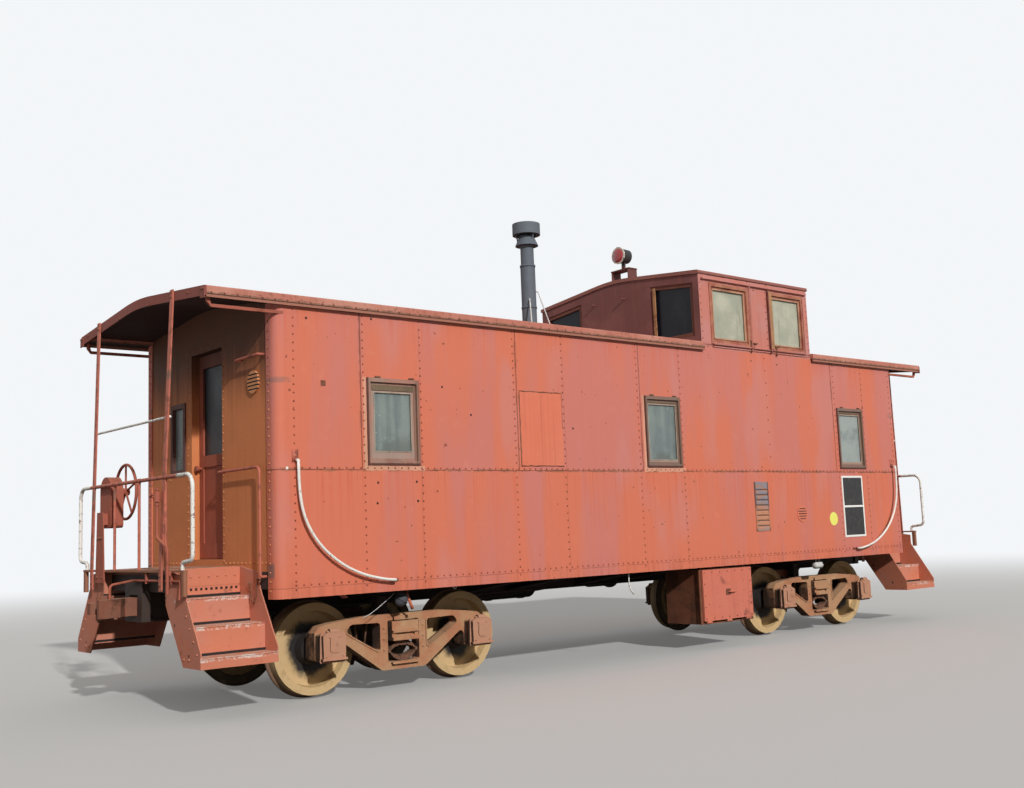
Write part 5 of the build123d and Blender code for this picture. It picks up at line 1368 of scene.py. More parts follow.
rivetLook = {
    "radius": 0.0095,
    "height": 0.0060,
    "pitch": 0.0745,
    "levels": (1.025, 2.034),
    "reach": (-4.634, 4.699),
    "columns": (-4.634, -3.918, -3.278, -2.123, -1.455, -0.329, 0.385, 3.400, 4.040, 4.699),
    "low": 0.985,
    "high": 3.430,
    "faintColumn": 1.980,
    "faintLow": 2.2,
    "clear": 0.012,
    "windows": [(middle - 0.295, middle + 0.295, 2.062, 2.865) for middle in shell["windows"]],
    "fittings": [(1.615, 1.880, 1.300, 1.893), (2.437, 2.643, 1.390, 1.596)],
    "plate": (3.430, 3.899, 1.170, 1.968),
    "holes": ((-3.780, 1.901), (-3.791, 1.714), (-3.350, 1.908), (-3.342, 1.728), (-3.023, 2.819),
              (-4.499, 3.363), (-3.816, 3.415), (4.036, 2.888), (-2.681, 2.560), (-1.326, 2.464)),
    "plug": (0.013, 0.004),
}


def clearOf(spots, boxes, margin):
    # The spots that lie further than the margin outside every box
    kept = np.ones(len(spots), bool)
    for x0, x1, z0, z1 in boxes:
        inside = (spots[:, 0] > x0 - margin) & (spots[:, 0] < x1 + margin)
        kept &= ~(inside & (spots[:, 1] > z0 - margin) & (spots[:, 1] < z1 + margin))
    return spots[kept]


def sideRivets(look):
    # Two level rows and the upright rows at the sheets' edges, without what falls on a window, vent or plate
    spots = [(x, level) for level in look["levels"] for x in rows(*look["reach"], look["pitch"])]
    spots += [(x, z) for x in look["columns"] for z in rows(look["low"], look["high"], look["pitch"])]
    spots += [(look["faintColumn"], z) for z in rows(look["faintLow"], look["high"], look["pitch"] * 2)]
    x0, x1, z0, z1 = look["plate"]
    for name, side, taken in (
        ("near", -1, [*look["fittings"], look["plate"]]), ("far", 1, [(-x1, -x0, z0, z1)]),
    ):
        flat = clearOf(np.array(spots), look["windows"] + taken, look["clear"])
        heads = domes(onSide(flat, side, shell["face"]), (0, side, 0), look["radius"], look["height"])
        addPiece(f"side_rivets_{name}", heads, "rivet", "side_red", smooth=True)
    # Dark heads at the holes: painted shade inside them
    pits = onSide(look["holes"], -1, shell["face"])
    addPiece("side_plugs", bolts(pits, (0, -1, 0), *look["plug"]), "slot", "side_red")


sideRivets(rivetLook)


# Rivets on the end walls, the corner returns and the roof's rim and laps

endRivetLook = {
    "radius": 0.0105,
    "height": 0.0075,
    "pitch": 0.078,
    "jambs": (-0.386, 0.378),
    "jambRange": (1.245, 3.20),
    "corner": 1.290,
    "cornerRange": (0.985, 3.40),
    "headLevel": 3.290,
    "windowColumn": 0.792,
    "windowRange": (2.05, 2.83),
    "sillRange": (-1.20, 1.20),
    "sillLevel": 1.225,
}


def endRivets(look):
    # Rows down both door jambs, over the door, beside the window, along the sill and down the corner returns
    left, right = look["jambs"]
    wall = [(y, z) for y in look["jambs"] for z in rows(*look["jambRange"], look["pitch"])]
    wall += [(y, look["headLevel"]) for y in rows(left, right, look["pitch"])]
    wall += [(look["windowColumn"], z) for z in rows(*look["windowRange"], look["pitch"])]
    wall += [(y, look["sillLevel"]) for y in rows(*look["sillRange"], look["pitch"]) if y < left or y > right]
    corner = [(side * look["corner"], z) for side in (-1, 1)
              for z in rows(*look["cornerRange"], look["pitch"])]
    heads = [domes(onEnd(spots, face), (-1, 0, 0), look["radius"], look["height"])
             for spots, face in ((wall, shell["endFace"]), (corner, shell["cornerFace"]))]
    addEnds("end_rivets", joined(heads), "tanRivet", "end_tan", smooth=True)


roofRivetLook = {
    "radius": 0.011,
    "height": 0.007,
    "pitch": 0.085,
    "beside": 0.028,
    "rimLevel": 3.492,
    "rimPitch": 0.118,
    "rimReach": (-5.42, 5.42),
    "reach": (-1.40, 1.40),
    "pipe": (-1.340, -0.800, 0.17),
    "cupola": (0.80, 2.95),
    "stud": (0.010, 0.006),
}


def roofRivets(look):
    # A row beside each lap, square to the slopes, and studs along both rims apart from the cupola's length
    flat = np.array([(lap + look["beside"], y) for lap in roofLook["laps"]
                     for y in rows(*look["reach"], look["pitch"])])
    x, y, clear = look["pipe"]
    flat = flat[np.hypot(flat[:, 0] - x, flat[:, 1] - y) > clear]
    place = np.stack([flat[:, 0], flat[:, 1], roofLevel(flat[:, 1])], 1)
    lean = np.sign(flat[:, 1]) * shell["rise"] / shell["roofHalf"]
    normals = np.stack([np.zeros(len(flat)), lean, np.ones(len(flat))], 1)
    normals /= np.linalg.norm(normals, axis=1, keepdims=True)
    heads = domes(place, normals, look["radius"], look["height"])
    addPiece("roof_rivets", heads, "roof", "roof_red", smooth=True)
    x0, x1 = look["cupola"]
    rim = [(x, look["rimLevel"]) for x in rows(*look["rimReach"], look["rimPitch"]) if x < x0 or x > x1]
    studs = [domes(onSide(rim, side, shell["roofHalf"]), (0, side, 0), *look["stud"]) for side in (-1, 1)]
    addPiece("rim_studs", joined(studs), "weld", "roof_red", smooth=True)


endRivets(endRivetLook)
roofRivets(roofRivetLook)
print("rivets set")


# Patch panel, flashings under the windows, belt crust and the small things on the near side

patchLook = {
    "box": (-2.054, -1.478, 2.066, 2.828),
    "proud": 0.0035,
    "bead": 0.0055,
    "steps": 40,
}


def ragged(count, amount, seed):
    # Smooth random offsets: white noise averaged over three neighbours
    noise = np.random.default_rng(seed).normal(0, amount, count + 2)
    return (noise[:-2] + noise[1:-1] + noise[2:]) / 2


def patchPanel(look):
    # A thin flat sheet, with a wandering tube of weld along three edges and a thin one half way up the fourth
    x0, x1, z0, z1 = look["box"]
    face = -shell["face"]
    count = look["steps"]
    places = np.linspace(x0, x1, count)
    sheet = ribbon(places, np.full(count, z0), np.full(count, z1), face, face - look["proud"])
    addPiece("patch_panel", sheet, "patch", "side_red", bevel=0.0008)
    beads = []
    y = np.full(count, face - 0.002)
    for level, seed in ((z0, 3), (z1, 4)):
        beads.append(tube(np.stack([places, y, level + ragged(count, 0.0016, seed)], 1),
                          look["bead"] + ragged(count, 0.0013, seed + 9), 6))
    upright = np.linspace(z0, z1, count)
    beads.append(tube(np.stack([x0 + ragged(count, 0.0014, 5), y, upright], 1),
                      look["bead"] + ragged(count, 0.0012, 15), 6))
    thin = slice(count // 2, None)
    beads.append(tube(np.stack([x1 + ragged(count, 0.001, 6), y, upright], 1)[thin], 0.003, 6))
    addPiece("patch_bead", joined(beads), "weld", "side_red", smooth=True)


flashLook = {
    "low": 2.012,
    "high": 2.060,
    "proud": 0.0014,
    "over": 0.055,
    "windows": (0, 1),
    "levelSteps": 46,
    "uprightSteps": 40,
    "upright": (0.038, 0.034),  # the upright strip's right edge from the sheet's end, and its width
}


def flashings(look):
    # Under each window a level ribbon with ragged edges, and an upright one up its left side
    strips = []
    face = -shell["face"]
    front = face - look["proud"]
    count, tall = look["levelSteps"], look["uprightSteps"]
    inset, wide = look["upright"]
    for index in look["windows"]:
        middle = shell["windows"][index]
        half = shell["windowHalf"] + look["over"]
        places = np.linspace(middle - half, middle + half, count)
        low = look["low"] + ragged(count, 0.0035, 21 + index)
        high = np.full(count, look["high"]) + ragged(count, 0.0012, 31 + index)
        strips.append(ribbon(places, low, high, face, front))
        upright = np.linspace(look["high"], shell["windowHigh"] + 0.02, tall)
        edge = np.full(tall, middle - half + inset)
        left = edge - wide + ragged(tall, 0.0022, 41 + index)
        strips.append(ribbon(upright, left, edge, face, front, True))
    addPiece("window_flashings", joined(strips), "flashing", "side_red")


beltLook = {
    "level": 2.017,
    "runs": ((-4.62, -4.22, 0.6), (-3.23, -2.10, 0.4), (-2.30, -1.35, 1.0), (-1.30, -0.45, 0.4),
             (0.5, 1.4, 0.4), (1.9, 3.3, 0.5), (4.1, 4.6, 0.4)),
    "wire": 0.0042,
    "step": 0.02,
}


def beltCrust(look):
    # Lumpy rust along the belt lap: a thin tube whose level and radius wander
    shapes = []
    for index, (x0, x1, share) in enumerate(look["runs"]):
        count = int((x1 - x0) / look["step"])
        places = np.linspace(x0, x1, count)
        level = look["level"] + ragged(count, 0.0016, 60 + index)
        radius = np.clip(look["wire"] * share + ragged(count, 0.0016, 80 + index), 0.0012, 0.008)
        shapes.append(tube(np.stack([places, np.full(count, -shell["face"]), level], 1), radius, 6))
    addPiece("belt_crust", joined(shapes), "weld", "side_red", smooth=True)


spotLook = {
    "place": (3.205, 1.414),
    "radius": 0.086,
    "tag": (-4.338, 2.789, 0.024),
    "chip": (-4.708, 2.030, 0.014),
}


def sideSpots(look):
    # A thin disc, a small square tag and a seven-sided chip, each turned or cut from a profile on the side
    x, z = look["place"]
    r = look["radius"]
    spot = lathe([(0, 0), (0, r), (0.0012, r - 0.0008), (0.0016, 0)], (x, -shell["face"], z), (0, -1, 0), 40)
    addPiece("yellow_spot", spot, "yellow", "side_red")
    x, z, half = look["tag"]
    tag = slabs([(x - half, x + half, -shell["face"], -shell["face"] - 0.006, z - half, z + half)])
    addPiece("side_tag", tag, "weld", "side_red", bevel=0.002)
    x, z, r = look["chip"]
    chip = lathe([(0, 0), (0, r), (0.002, r * 0.7), (0.002, 0)], (x, -shell["face"], z), (0, -1, 0), 7)
    addPiece("paint_chip", chip, "plate", "white_paint")


ventSlotLook = {
    "place": (2.540, 1.493),
    "face": 1.4138,
    "levels": (-0.062, -0.031, 0.0, 0.031, 0.062),
    "radius": 0.084,
    "half": 0.0055,
    "proud": 0.0012,
}


def ventSlots(look):
    # Level bars across a disc, each as long as the chord at its level, dark as painted shade in the vent's
    # slots
    x, z = look["place"]
    y, half = -look["face"], look["half"]
    boxes = []
    for offset in look["levels"]:
        reach = math.sqrt(look["radius"] ** 2 - offset ** 2)
        boxes.append((x - reach, x + reach, y, y - look["proud"], z + offset - half, z + offset + half))
    addPiece("side_vent_slots", slabs(boxes), "slot", "side_red")


patchPanel(patchLook)
ventSlots(ventSlotLook)
flashings(flashLook)
beltCrust(beltLook)
sideSpots(spotLook)


# Window sashes: a dusty sash round a screen with a pale frame, a header and two hinge knuckles

sashLook = {
    "half": 0.235,
    "screens": ((0.200, 0.116, 0.118, 0.052), (0.222, 0.072, 0.082, 0.018), (0.220, 0.074, 0.080, 0.014)),
    "back": 1.3795,
    "front": 1.3905,
    "paleBack": 1.3820,
    "paleFront": 1.3945,
    "pale": 0.010,
    "headerFront": 1.3985,
    "knuckles": (-0.62, 0.72),  # shares of the window's half width
    "knuckleUp": 0.024,
    "knuckleOut": 0.009,
    "knuckleHalf": 0.028,
}


def sashBoxes(middle, side, look, screen):
    # Four rails in the frame's lip, four pale screen strips inside them and the header board
    half, foot, head, board = screen
    low, high = shell["windowLow"] + shell["lip"], shell["windowHigh"] - shell["lip"]
    x0, x1 = middle - look["half"], middle + look["half"]
    m0, m1 = shell["windowLow"] + foot, shell["windowHigh"] - head
    y0, y1 = side * look["back"], side * look["front"]
    rails = [
        (x0, x1, y0, y1, low, m0), (x0, x1, y0, y1, m1, high),
        (x0, middle - half, y0, y1, m0, m1), (middle + half, x1, y0, y1, m0, m1),
    ]
    y0, y1, strip = side * look["paleBack"], side * look["paleFront"], look["pale"]
    pale = [
        (middle - half - strip, middle + half + strip, y0, y1, m0 - strip, m0),
        (middle - half - strip, middle + half + strip, y0, y1, m1, m1 + strip),
        (middle - half - strip, middle - half, y0, y1, m0, m1),
        (middle + half, middle + half + strip, y0, y1, m0, m1),
    ]
    header = [(x0, x1, side * look["back"], side * look["headerFront"], high - board, high)]
    return rails, pale, header


def windowSashes(look):
    # Boxes for every window on both sides in three groups, and two short bent tubes over each window
    groups = ([], [], [])
    knuckles = []
    half = look["knuckleHalf"]
    z = shell["windowHigh"] + look["knuckleUp"]
    for side in (-1, 1):
        y = side * (shell["face"] + look["knuckleOut"])
        for middle, screen in zip(shell["windows"], look["screens"]):
            for group, boxes in zip(groups, sashBoxes(middle, side, look, screen)):
                group.extend(boxes)
            for share in look["knuckles"]:
                x = middle + share * shell["windowHalf"]
                knuckles.append(tube([(x - half, y, z), (x, y, z + 0.003), (x + half, y, z)], 0.009, 6))
    kinds = (("window_sashes", "sash"), ("screen_frames", "screenFrame"), ("window_headers", "header"))
    for (name, finish), boxes in zip(kinds, groups):
        addPiece(name, slabs(boxes), finish, "window_trim", bevel=0.0015)
    addPiece("window_knuckles", joined(knuckles), "weld", "side_red", smooth=True)


windowSashes(sashLook)
print("side details set")


# Ends: bolts on the roof angle, posts and brake stand, collars on the railing and a chain at the steps

endLook = {
    "bolts": (  # each group's face, its heads' radius and the y and z of each head
        (5.485, 0.013, ((-1.437, 3.522), (-1.398, 3.526), (1.437, 3.522), (1.398, 3.526))),
        (5.491, 0.014, ((-0.803, 3.600), (-0.803, 3.560), (0.935, 3.592), (0.935, 3.552))),
        (5.554, 0.014, ((-0.712, 1.150), (-0.712, 1.070), (0.912, 1.150), (0.912, 1.070))),
        (5.550, 0.016, ((0.655, 1.500), (0.700, 1.497), (0.745, 1.494), (0.640, 1.130), (0.760, 1.130))),
        (5.477, 0.012, ((-0.30, 3.575), (-1.12, 3.545), (0.42, 3.572), (1.25, 3.535))),
    ),
    "collars": ((-5.521, 0.400, 1.990), (-5.521, -0.180, 1.990), (-5.521, -0.758, 1.990)),
    "collar": (0.022, 0.021),
    "chainHooks": ((-4.832, -0.930, 1.050), (-4.832, -1.090, 1.085)),
    "chainSag": 0.19,
    "chainLink": (0.010, 0.0032),
    "pin": (0.030, -0.010, 0.008),
}


def endDetails(look):
    # Six-sided heads, short turned collars, and links along a parabola between two pins
    heads = [bolts(onEnd(spots, face), (-1, 0, 0), radius, 0.012) for face, radius, spots in look["bolts"]]
    addEnds("end_bolts", joined(heads), "coupler", "end_tan")
    half, radius = look["collar"]
    profile = [(-half, 0.0), (-half, radius), (half, radius), (half, 0.0)]
    collars = joined([lathe(profile, place, (0, 1, 0), 14) for place in look["collars"]])
    addEnds("rail_collars", collars, "step", "step_red", bevel=0.003)
    first, last = (np.array(hook) for hook in look["chainHooks"])
    share = np.linspace(0, 1, 21)[:, None]
    hang = first * (1 - share) + last * share
    hang[:, 2] -= look["chainSag"] * (1 - (2 * share[:, 0] - 1) ** 2)
    inner, outer, radius = look["pin"]
    pins = joined([tube([hook + [inner, 0, 0], hook + [outer, 0, 0]], radius) for hook in (first, last)])
    addEnds("step_chains", joined([chain(hang, *look["chainLink"]), pins]), "weld", "step_red", smooth=True)


stairLook = {
    "outer": 5.502,
    "inner": 4.804,
    "topRiser": (0.703, 1.128, 0.966),
    "rivetPitch": 0.082,
    "rivet": (0.012, 0.008),
    "proud": 0.008,
    "strip": (1.046, 1.082, 0.012),
    "notches": (1.008, 1.030, 0.0092),
    "notchPitch": 0.047,
    "notch": (-0.013, 0.009),
    "stringer": ((1.330, 0.520), (1.260, 0.620), (1.190, 0.720), (1.130, 0.820), (1.180, 0.470),
                 (1.080, 0.470)),
    "nosing": ((1.395, 0.491), (1.174, 0.727), (0.893, 0.950)),
    "nosingRadius": 0.0055,
}


def stairDetails(look):
    # Rivet rows and a notched strip under the deck's edge, rivets on the stringers and a nosing on each tread
    y, high, low = look["topRiser"]
    along = rows(-look["outer"] + 0.06, -look["inner"] - 0.06, look["rivetPitch"])
    heads = [domes(onSide([(x, level) for x in along], side, y + look["proud"]), (0, side, 0), *look["rivet"])
             for level in (high, low) for side in (-1, 1)]
    for side in (-1, 1):
        spots = [(side * y, z) for y, z in look["stringer"]]
        heads.append(domes(onEnd(spots, look["outer"]), (-1, 0, 0), *look["rivet"]))
    rivets = joined(heads)
    x0, x1 = -look["outer"] + 0.012, -look["inner"] - 0.012
    stripLow, stripHigh, stripOut = look["strip"]
    notchLow, notchHigh, notchOut = look["notches"]
    before, after = look["notch"]
    seams, notches = [], []
    for side in (-1, 1):
        face = side * (y + look["proud"])
        seams.append((x0, x1, face, side * (y + stripOut), stripLow, stripHigh))
        notches += [(x + before, x + after, face, side * (y + notchOut), notchLow, notchHigh)
                    for x in rows(x0 + 0.03, x1 - 0.03, look["notchPitch"])]
    x0, x1 = -look["outer"] + 0.008, -look["inner"] - 0.008
    bars = []
    for y, level in look["nosing"]:
        for side in (-1, 1):
            path = np.linspace((x0, side * y, level - 0.004), (x1, side * y, level - 0.004), 8)
            bars.append(tube(path, look["nosingRadius"], 8))
    nosings = joined(bars)
    for end, turn in (("a", lambda shape: shape), ("b", turnedEnd)):
        addPiece(f"stair_strips_{end}", turn(slabs(seams)), "steps", "step_red", bevel=0.001)
        # the notches are dark as painted shade
        addPiece(f"stair_notches_{end}", turn(slabs(notches)), "slot", "step_red")
        addPiece(f"stair_rivets_{end}", turn(rivets), "steps", "step_red", smooth=True)
        addPiece(f"stair_nosings_{end}", turn(nosings), "steps", "step_red", smooth=True)


endDetails(endLook)
stairDetails(stairLook)
print("end details set")


# Underside: train pipe, brake rods, and the small fittings that hang below the side sill

pipeLook = {
    "train": ((-5.30, 0.20, 0.84), (-4.95, 0.26, 0.88), (-4.4, 0.30, 0.90), (4.4, 0.30, 0.90),
              (4.95, 0.26, 0.88), (5.30, 0.20, 0.84)),
    "trainRadius": 0.021,
    "branch": ((-0.10, 0.30, 0.90), (-0.10, 0.46, 0.90), (0.40, 0.56, 0.86), (0.64, 0.56, 0.83)),
    "feed": ((-0.24, 0.62, 0.80), (0.10, 0.60, 0.80), (0.40, 0.50, 0.84), (0.62, 0.52, 0.83)),
    "branchRadius": 0.013,
    "rods": (((1.36, 0.56, 0.83), (1.56, 0.35, 0.80), (2.20, 0.06, 0.66)),
             ((0.62, 0.40, 0.78), (-0.60, 0.22, 0.70), (-2.20, 0.06, 0.66))),
    "rodRadius": 0.012,
}
hangLook = {
    "sillLow": 0.930,
    "bulb": (-3.441, -1.230, 0.822),
    "bulbRadius": 0.060,
    "bulbTilt": (0.5, -0.2, 0.84),
    "anchor": (-1.285, 0.94),
    "rod": ((-3.378, -1.230, 0.880), (-3.368, -1.230, 0.850), (-3.314, -1.230, 0.730)),
    "wire": ((-3.520, -1.230, 0.885), (-3.640, -1.230, 0.800), (-3.789, -1.230, 0.711),
             (-3.858, -1.215, 0.688)),
    "tank": (2.941, -1.300, 0.835),
    "tankProfile": ((-0.10, 0), (-0.09, 0.03), (-0.07, 0.045), (0.05, 0.045), (0.07, 0.03), (0.08, 0)),
    "straps": (-0.04, 0.03),
    "whiteRod": ((-0.509, -1.31, 0.932), (-0.509, -1.31, 0.800), (-0.495, -1.31, 0.735),
                 (-0.445, -1.31, 0.685)),
    "ring": (-2.879, -1.318, 0.900),
    "ringRadius": 0.020,
    "lump": (-4.119, -1.320, 0.905),
}


def underPipes(look):
    # Tubes along rounded paths: the train pipe, two branches and the brake rods
    shapes = [tube(rounded(look["train"]), look["trainRadius"])]
    for key in ("branch", "feed"):
        shapes.append(tube(rounded(look[key]), look["branchRadius"]))
    for rod in look["rods"]:
        shapes.append(tube(rounded(rod, 2), look["rodRadius"]))
    addPiece("brake_pipes", joined(shapes), "underframe", "frame_black", smooth=True)


def underFittings(look):
    # Turned bodies on tilted or level lines, with tubes for their hangers, rods and wire
    x, y, z = look["bulb"]
    r, tilt = look["bulbRadius"], look["bulbTilt"]
    anchor = look["anchor"]
    angles = np.linspace(0, math.pi, 13)
    ball = lathe(np.stack([-np.cos(angles) * r * 1.15, np.sin(angles) * r], 1), (x, y, z), tilt)
    flange = lathe([(-0.01, 0), (-0.01, r * 1.08), (0.01, r * 1.08), (0.01, 0)], (x, y, z), tilt)
    hanger = tube([(x, y, z + r * 0.8), (x, y, z + r + 0.03), (x + 0.02, *anchor)], 0.012)
    addPiece("retainer_bulb", joined([ball, flange, hanger]), "bulb", "frame_black", smooth=True)
    bracket = tube([(look["rod"][0][0], *anchor), look["rod"][0]], 0.009)
    rod = tube(rounded(look["rod"]), 0.015)
    addPiece("retainer_rod", joined([rod, bracket]), "fitting", "side_red", smooth=True)
    addPiece("retainer_wire", tube(rounded(look["wire"]), 0.0035, 6), "silver", "frame_black", smooth=True)
    x, y, z = look["tank"]
    straps = [tube([(x + off, y, z + 0.03), (x + off, y, 0.95)], 0.008) for off in look["straps"]]
    tank = joined([lathe(look["tankProfile"], (x, y, z), (1, 0, 0)), *straps])
    addPiece("small_tank", tank, "silver", "frame_black", smooth=True)
    addPiece("white_rod", tube(rounded(look["whiteRod"]), 0.008), "whiteRod", "white_paint", smooth=True)
    x, y, z = look["ring"]
    angles = np.linspace(0, 2 * math.pi, 17)
    r = look["ringRadius"]
    ring = np.stack([x + np.sin(angles) * r, np.full(17, y), z + 0.012 + np.cos(angles) * r], 1)
    addPiece("sill_ring", tube(ring, 0.004, 6), "whiteRod", "white_paint", smooth=True)
    x, y, z = look["lump"]
    lump = slabs([(x - 0.028, x + 0.022, y - 0.014, y + 0.014, z - 0.012, look["sillLow"] + 0.004),
                  (x - 0.014, x + 0.034, y - 0.022, y + 0.010, z - 0.022, z - 0.004)])
    addPiece("sill_bracket", lump, "fitting", "side_red", bevel=0.003)


underPipes(pipeLook)
underFittings(hangLook)


# Chimney stays and bands, and the cupola's small pieces

stayLook = {
    "chimney": (-1.340, -0.800),
    "stays": ((-1.50, -1.02, 0.34), (-1.06, -0.86, 0.44)),
    "lean": 0.42,
    "wire": 0.007,
    "foot": (0.008, 0.03),
    "bands": ((3.86, 0.0845), (4.33, 0.0845), (4.56, 0.0765)),
    "bandHalf": 0.012,
}


def chimneyStays(look):
    # Each stay is a slanted wire and a short level one from a turned foot on the roof, and each band a ring
    x, y = look["chimney"]
    thick, wide = look["foot"]
    shapes = []
    for footX, footY, climb in look["stays"]:
        foot = (footX, footY, float(roofLevel(footY)) - 0.004)
        head = (x + (footX - x) * look["lean"], y + (footY - y) * look["lean"], foot[2] + climb)
        shapes.append(tube(np.linspace(foot, head, 6), look["wire"]))
        shapes.append(tube(np.linspace(head, (x, y, foot[2] + climb + 0.06), 4), look["wire"]))
        shapes.append(lathe([(0, 0), (0, wide), (thick, wide), (thick, 0)], foot, (0, 0, 1), 12))
    addPiece("chimney_stays", joined(shapes), "silver", "stove_pipe", smooth=True)
    half = look["bandHalf"]
    bands = [lathe([(-half, r - 0.006), (-half, r + 0.002), (half, r + 0.002), (half, r - 0.006)],
                   (x, y, level), (0, 0, 1), 32) for level, r in look["bands"]]
    addPiece("chimney_bands", joined(bands), "pipe", "stove_pipe", smooth=True)


chimneyStays(stayLook)


cupolaDetail = {
    "corners": (0.842, 2.912),
    "middles": (1.760, 2.075),
    "range": (3.60, 4.28),
    "pitch": 0.082,
    "rivet": (0.0095, 0.006),
    "sillLevel": 3.508,
    "panes": ((1.060, 1.660), (2.175, 2.775)),
    "paneLow": 3.610,
    "paneHigh": 4.225,
    "bead": 0.016,
    "beadFaces": (1.388, 1.402),
    "sunk": 0.004,
    "ledges": ((1.020, 2.875, 3.504, 3.518, 0.014), (1.010, 1.720, 3.552, 3.562, 0.012),
               (2.115, 2.835, 3.552, 3.562, 0.012)),
    "stiles": ((1.722, 1.734, 3.534, 4.314, 0.012), (1.762, 1.772, 3.600, 4.314, 0.008)),
    "latches": ((1.772, 1.846, 3.598, 3.612, 0.026), (1.716, 1.734, 3.560, 3.640, 0.020),
                (2.176, 2.290, 3.590, 3.604, 0.026), (2.214, 2.232, 3.500, 3.596, 0.024),
                (1.716, 1.732, 3.486, 3.540, 0.028), (2.214, 2.232, 3.474, 3.512, 0.028)),
    "studs": ((1.715, 3.385), (2.223, 3.366), (1.800, 3.560), (1.850, 4.285)),
    "stud": (0.011, 0.010),
    "bareStile": (2.122, 2.184, 3.556, 4.292, 0.026),
    "bareJamb": (0.806, 0.818, -0.712, -0.668, 3.672, 4.330),
}


def proudBoxes(strips, side, sunk):
    # Rows of x0, x1, low, high and how far each strip stands out of the side
    face = shell["face"]
    return [(x0, x1, side * (face - sunk), side * (face + proud), low, high)
            for x0, x1, low, high, proud in strips]


def cupolaDetails(look):
    # Rivet columns at the corners and the middle panel with a row along the foot, beads round the panes,
    # ledges and stiles, latches with their studs, and bare wood on one stile and one jamb
    spots = [(x, z) for x in look["corners"] + look["middles"] for z in rows(*look["range"], look["pitch"])]
    spots += [(x, look["sillLevel"]) for x in rows(*look["corners"], look["pitch"])]
    heads, beads, rails, latches, studs = [], [], [], [], []
    low, high, wide = look["paneLow"], look["paneHigh"], look["bead"]
    for side in (-1, 1):
        heads.append(domes(onSide(spots, side, shell["face"]), (0, side, 0), *look["rivet"]))
        y0, y1 = (side * face for face in look["beadFaces"])
        for x0, x1 in look["panes"]:
            beads += [(x0, x1, y0, y1, low, low + wide), (x0, x1, y0, y1, high - wide, high),
                      (x0, x0 + wide, y0, y1, low, high), (x1 - wide, x1, y0, y1, low, high)]
        rails += proudBoxes(look["ledges"] + look["stiles"], side, look["sunk"])
        latches += proudBoxes(look["latches"], side, look["sunk"])
        studs.append(bolts(onSide(look["studs"], side, shell["face"]), (0, side, 0), *look["stud"]))
    addPiece("cupola_rivets", joined(heads), "rivet", "side_red", smooth=True)
    addPiece("cupola_beads", slabs(beads), "bead", "window_trim", bevel=0.002)
    addPiece("cupola_rails", slabs(rails), "cupola", "side_red", bevel=0.002)
    addPiece("cupola_latches", joined([slabs(latches), *studs]), "weld", "side_red", bevel=0.001)
    bare = proudBoxes([look["bareStile"]], -1, look["sunk"]) + [look["bareJamb"]]
    addPiece("worn_stiles", slabs(bare), "bareWood", "window_trim", bevel=0.003)


cupolaDetails(cupolaDetail)
print("roof and cupola details set")


# Grab irons: smooth sweeps down the corners of the sides, and bent bars on the end walls

ironLook = {
    "radius": 0.013,
    "face": 1.406,
    "stand": 0.062,
    "sweep": ((4.631, 2.097), (4.630, 1.960), (4.618, 1.780), (4.590, 1.640), (4.530, 1.500), (4.430, 1.360),
              (4.300, 1.245), (4.150, 1.150), (3.980, 1.080), (3.830, 1.044), (3.720, 1.026), (3.655, 1.020)),
    "lug": (3.590, 3.680, 0.010),
    "lugHead": (0.022, 0.010, 0.008),
    "foot": (0.060, 0.110, 0.008),
    "footHeads": (0.45, 0.82),  # shares of the foot plate's height
    "footHead": (0.012, 0.009),
    "endFace": 4.804,
    "endStand": 0.060,
    "upper": (-0.760, -1.200, 3.045),
    "lower": (-0.400, -1.200, 2.055, 1.110),
}


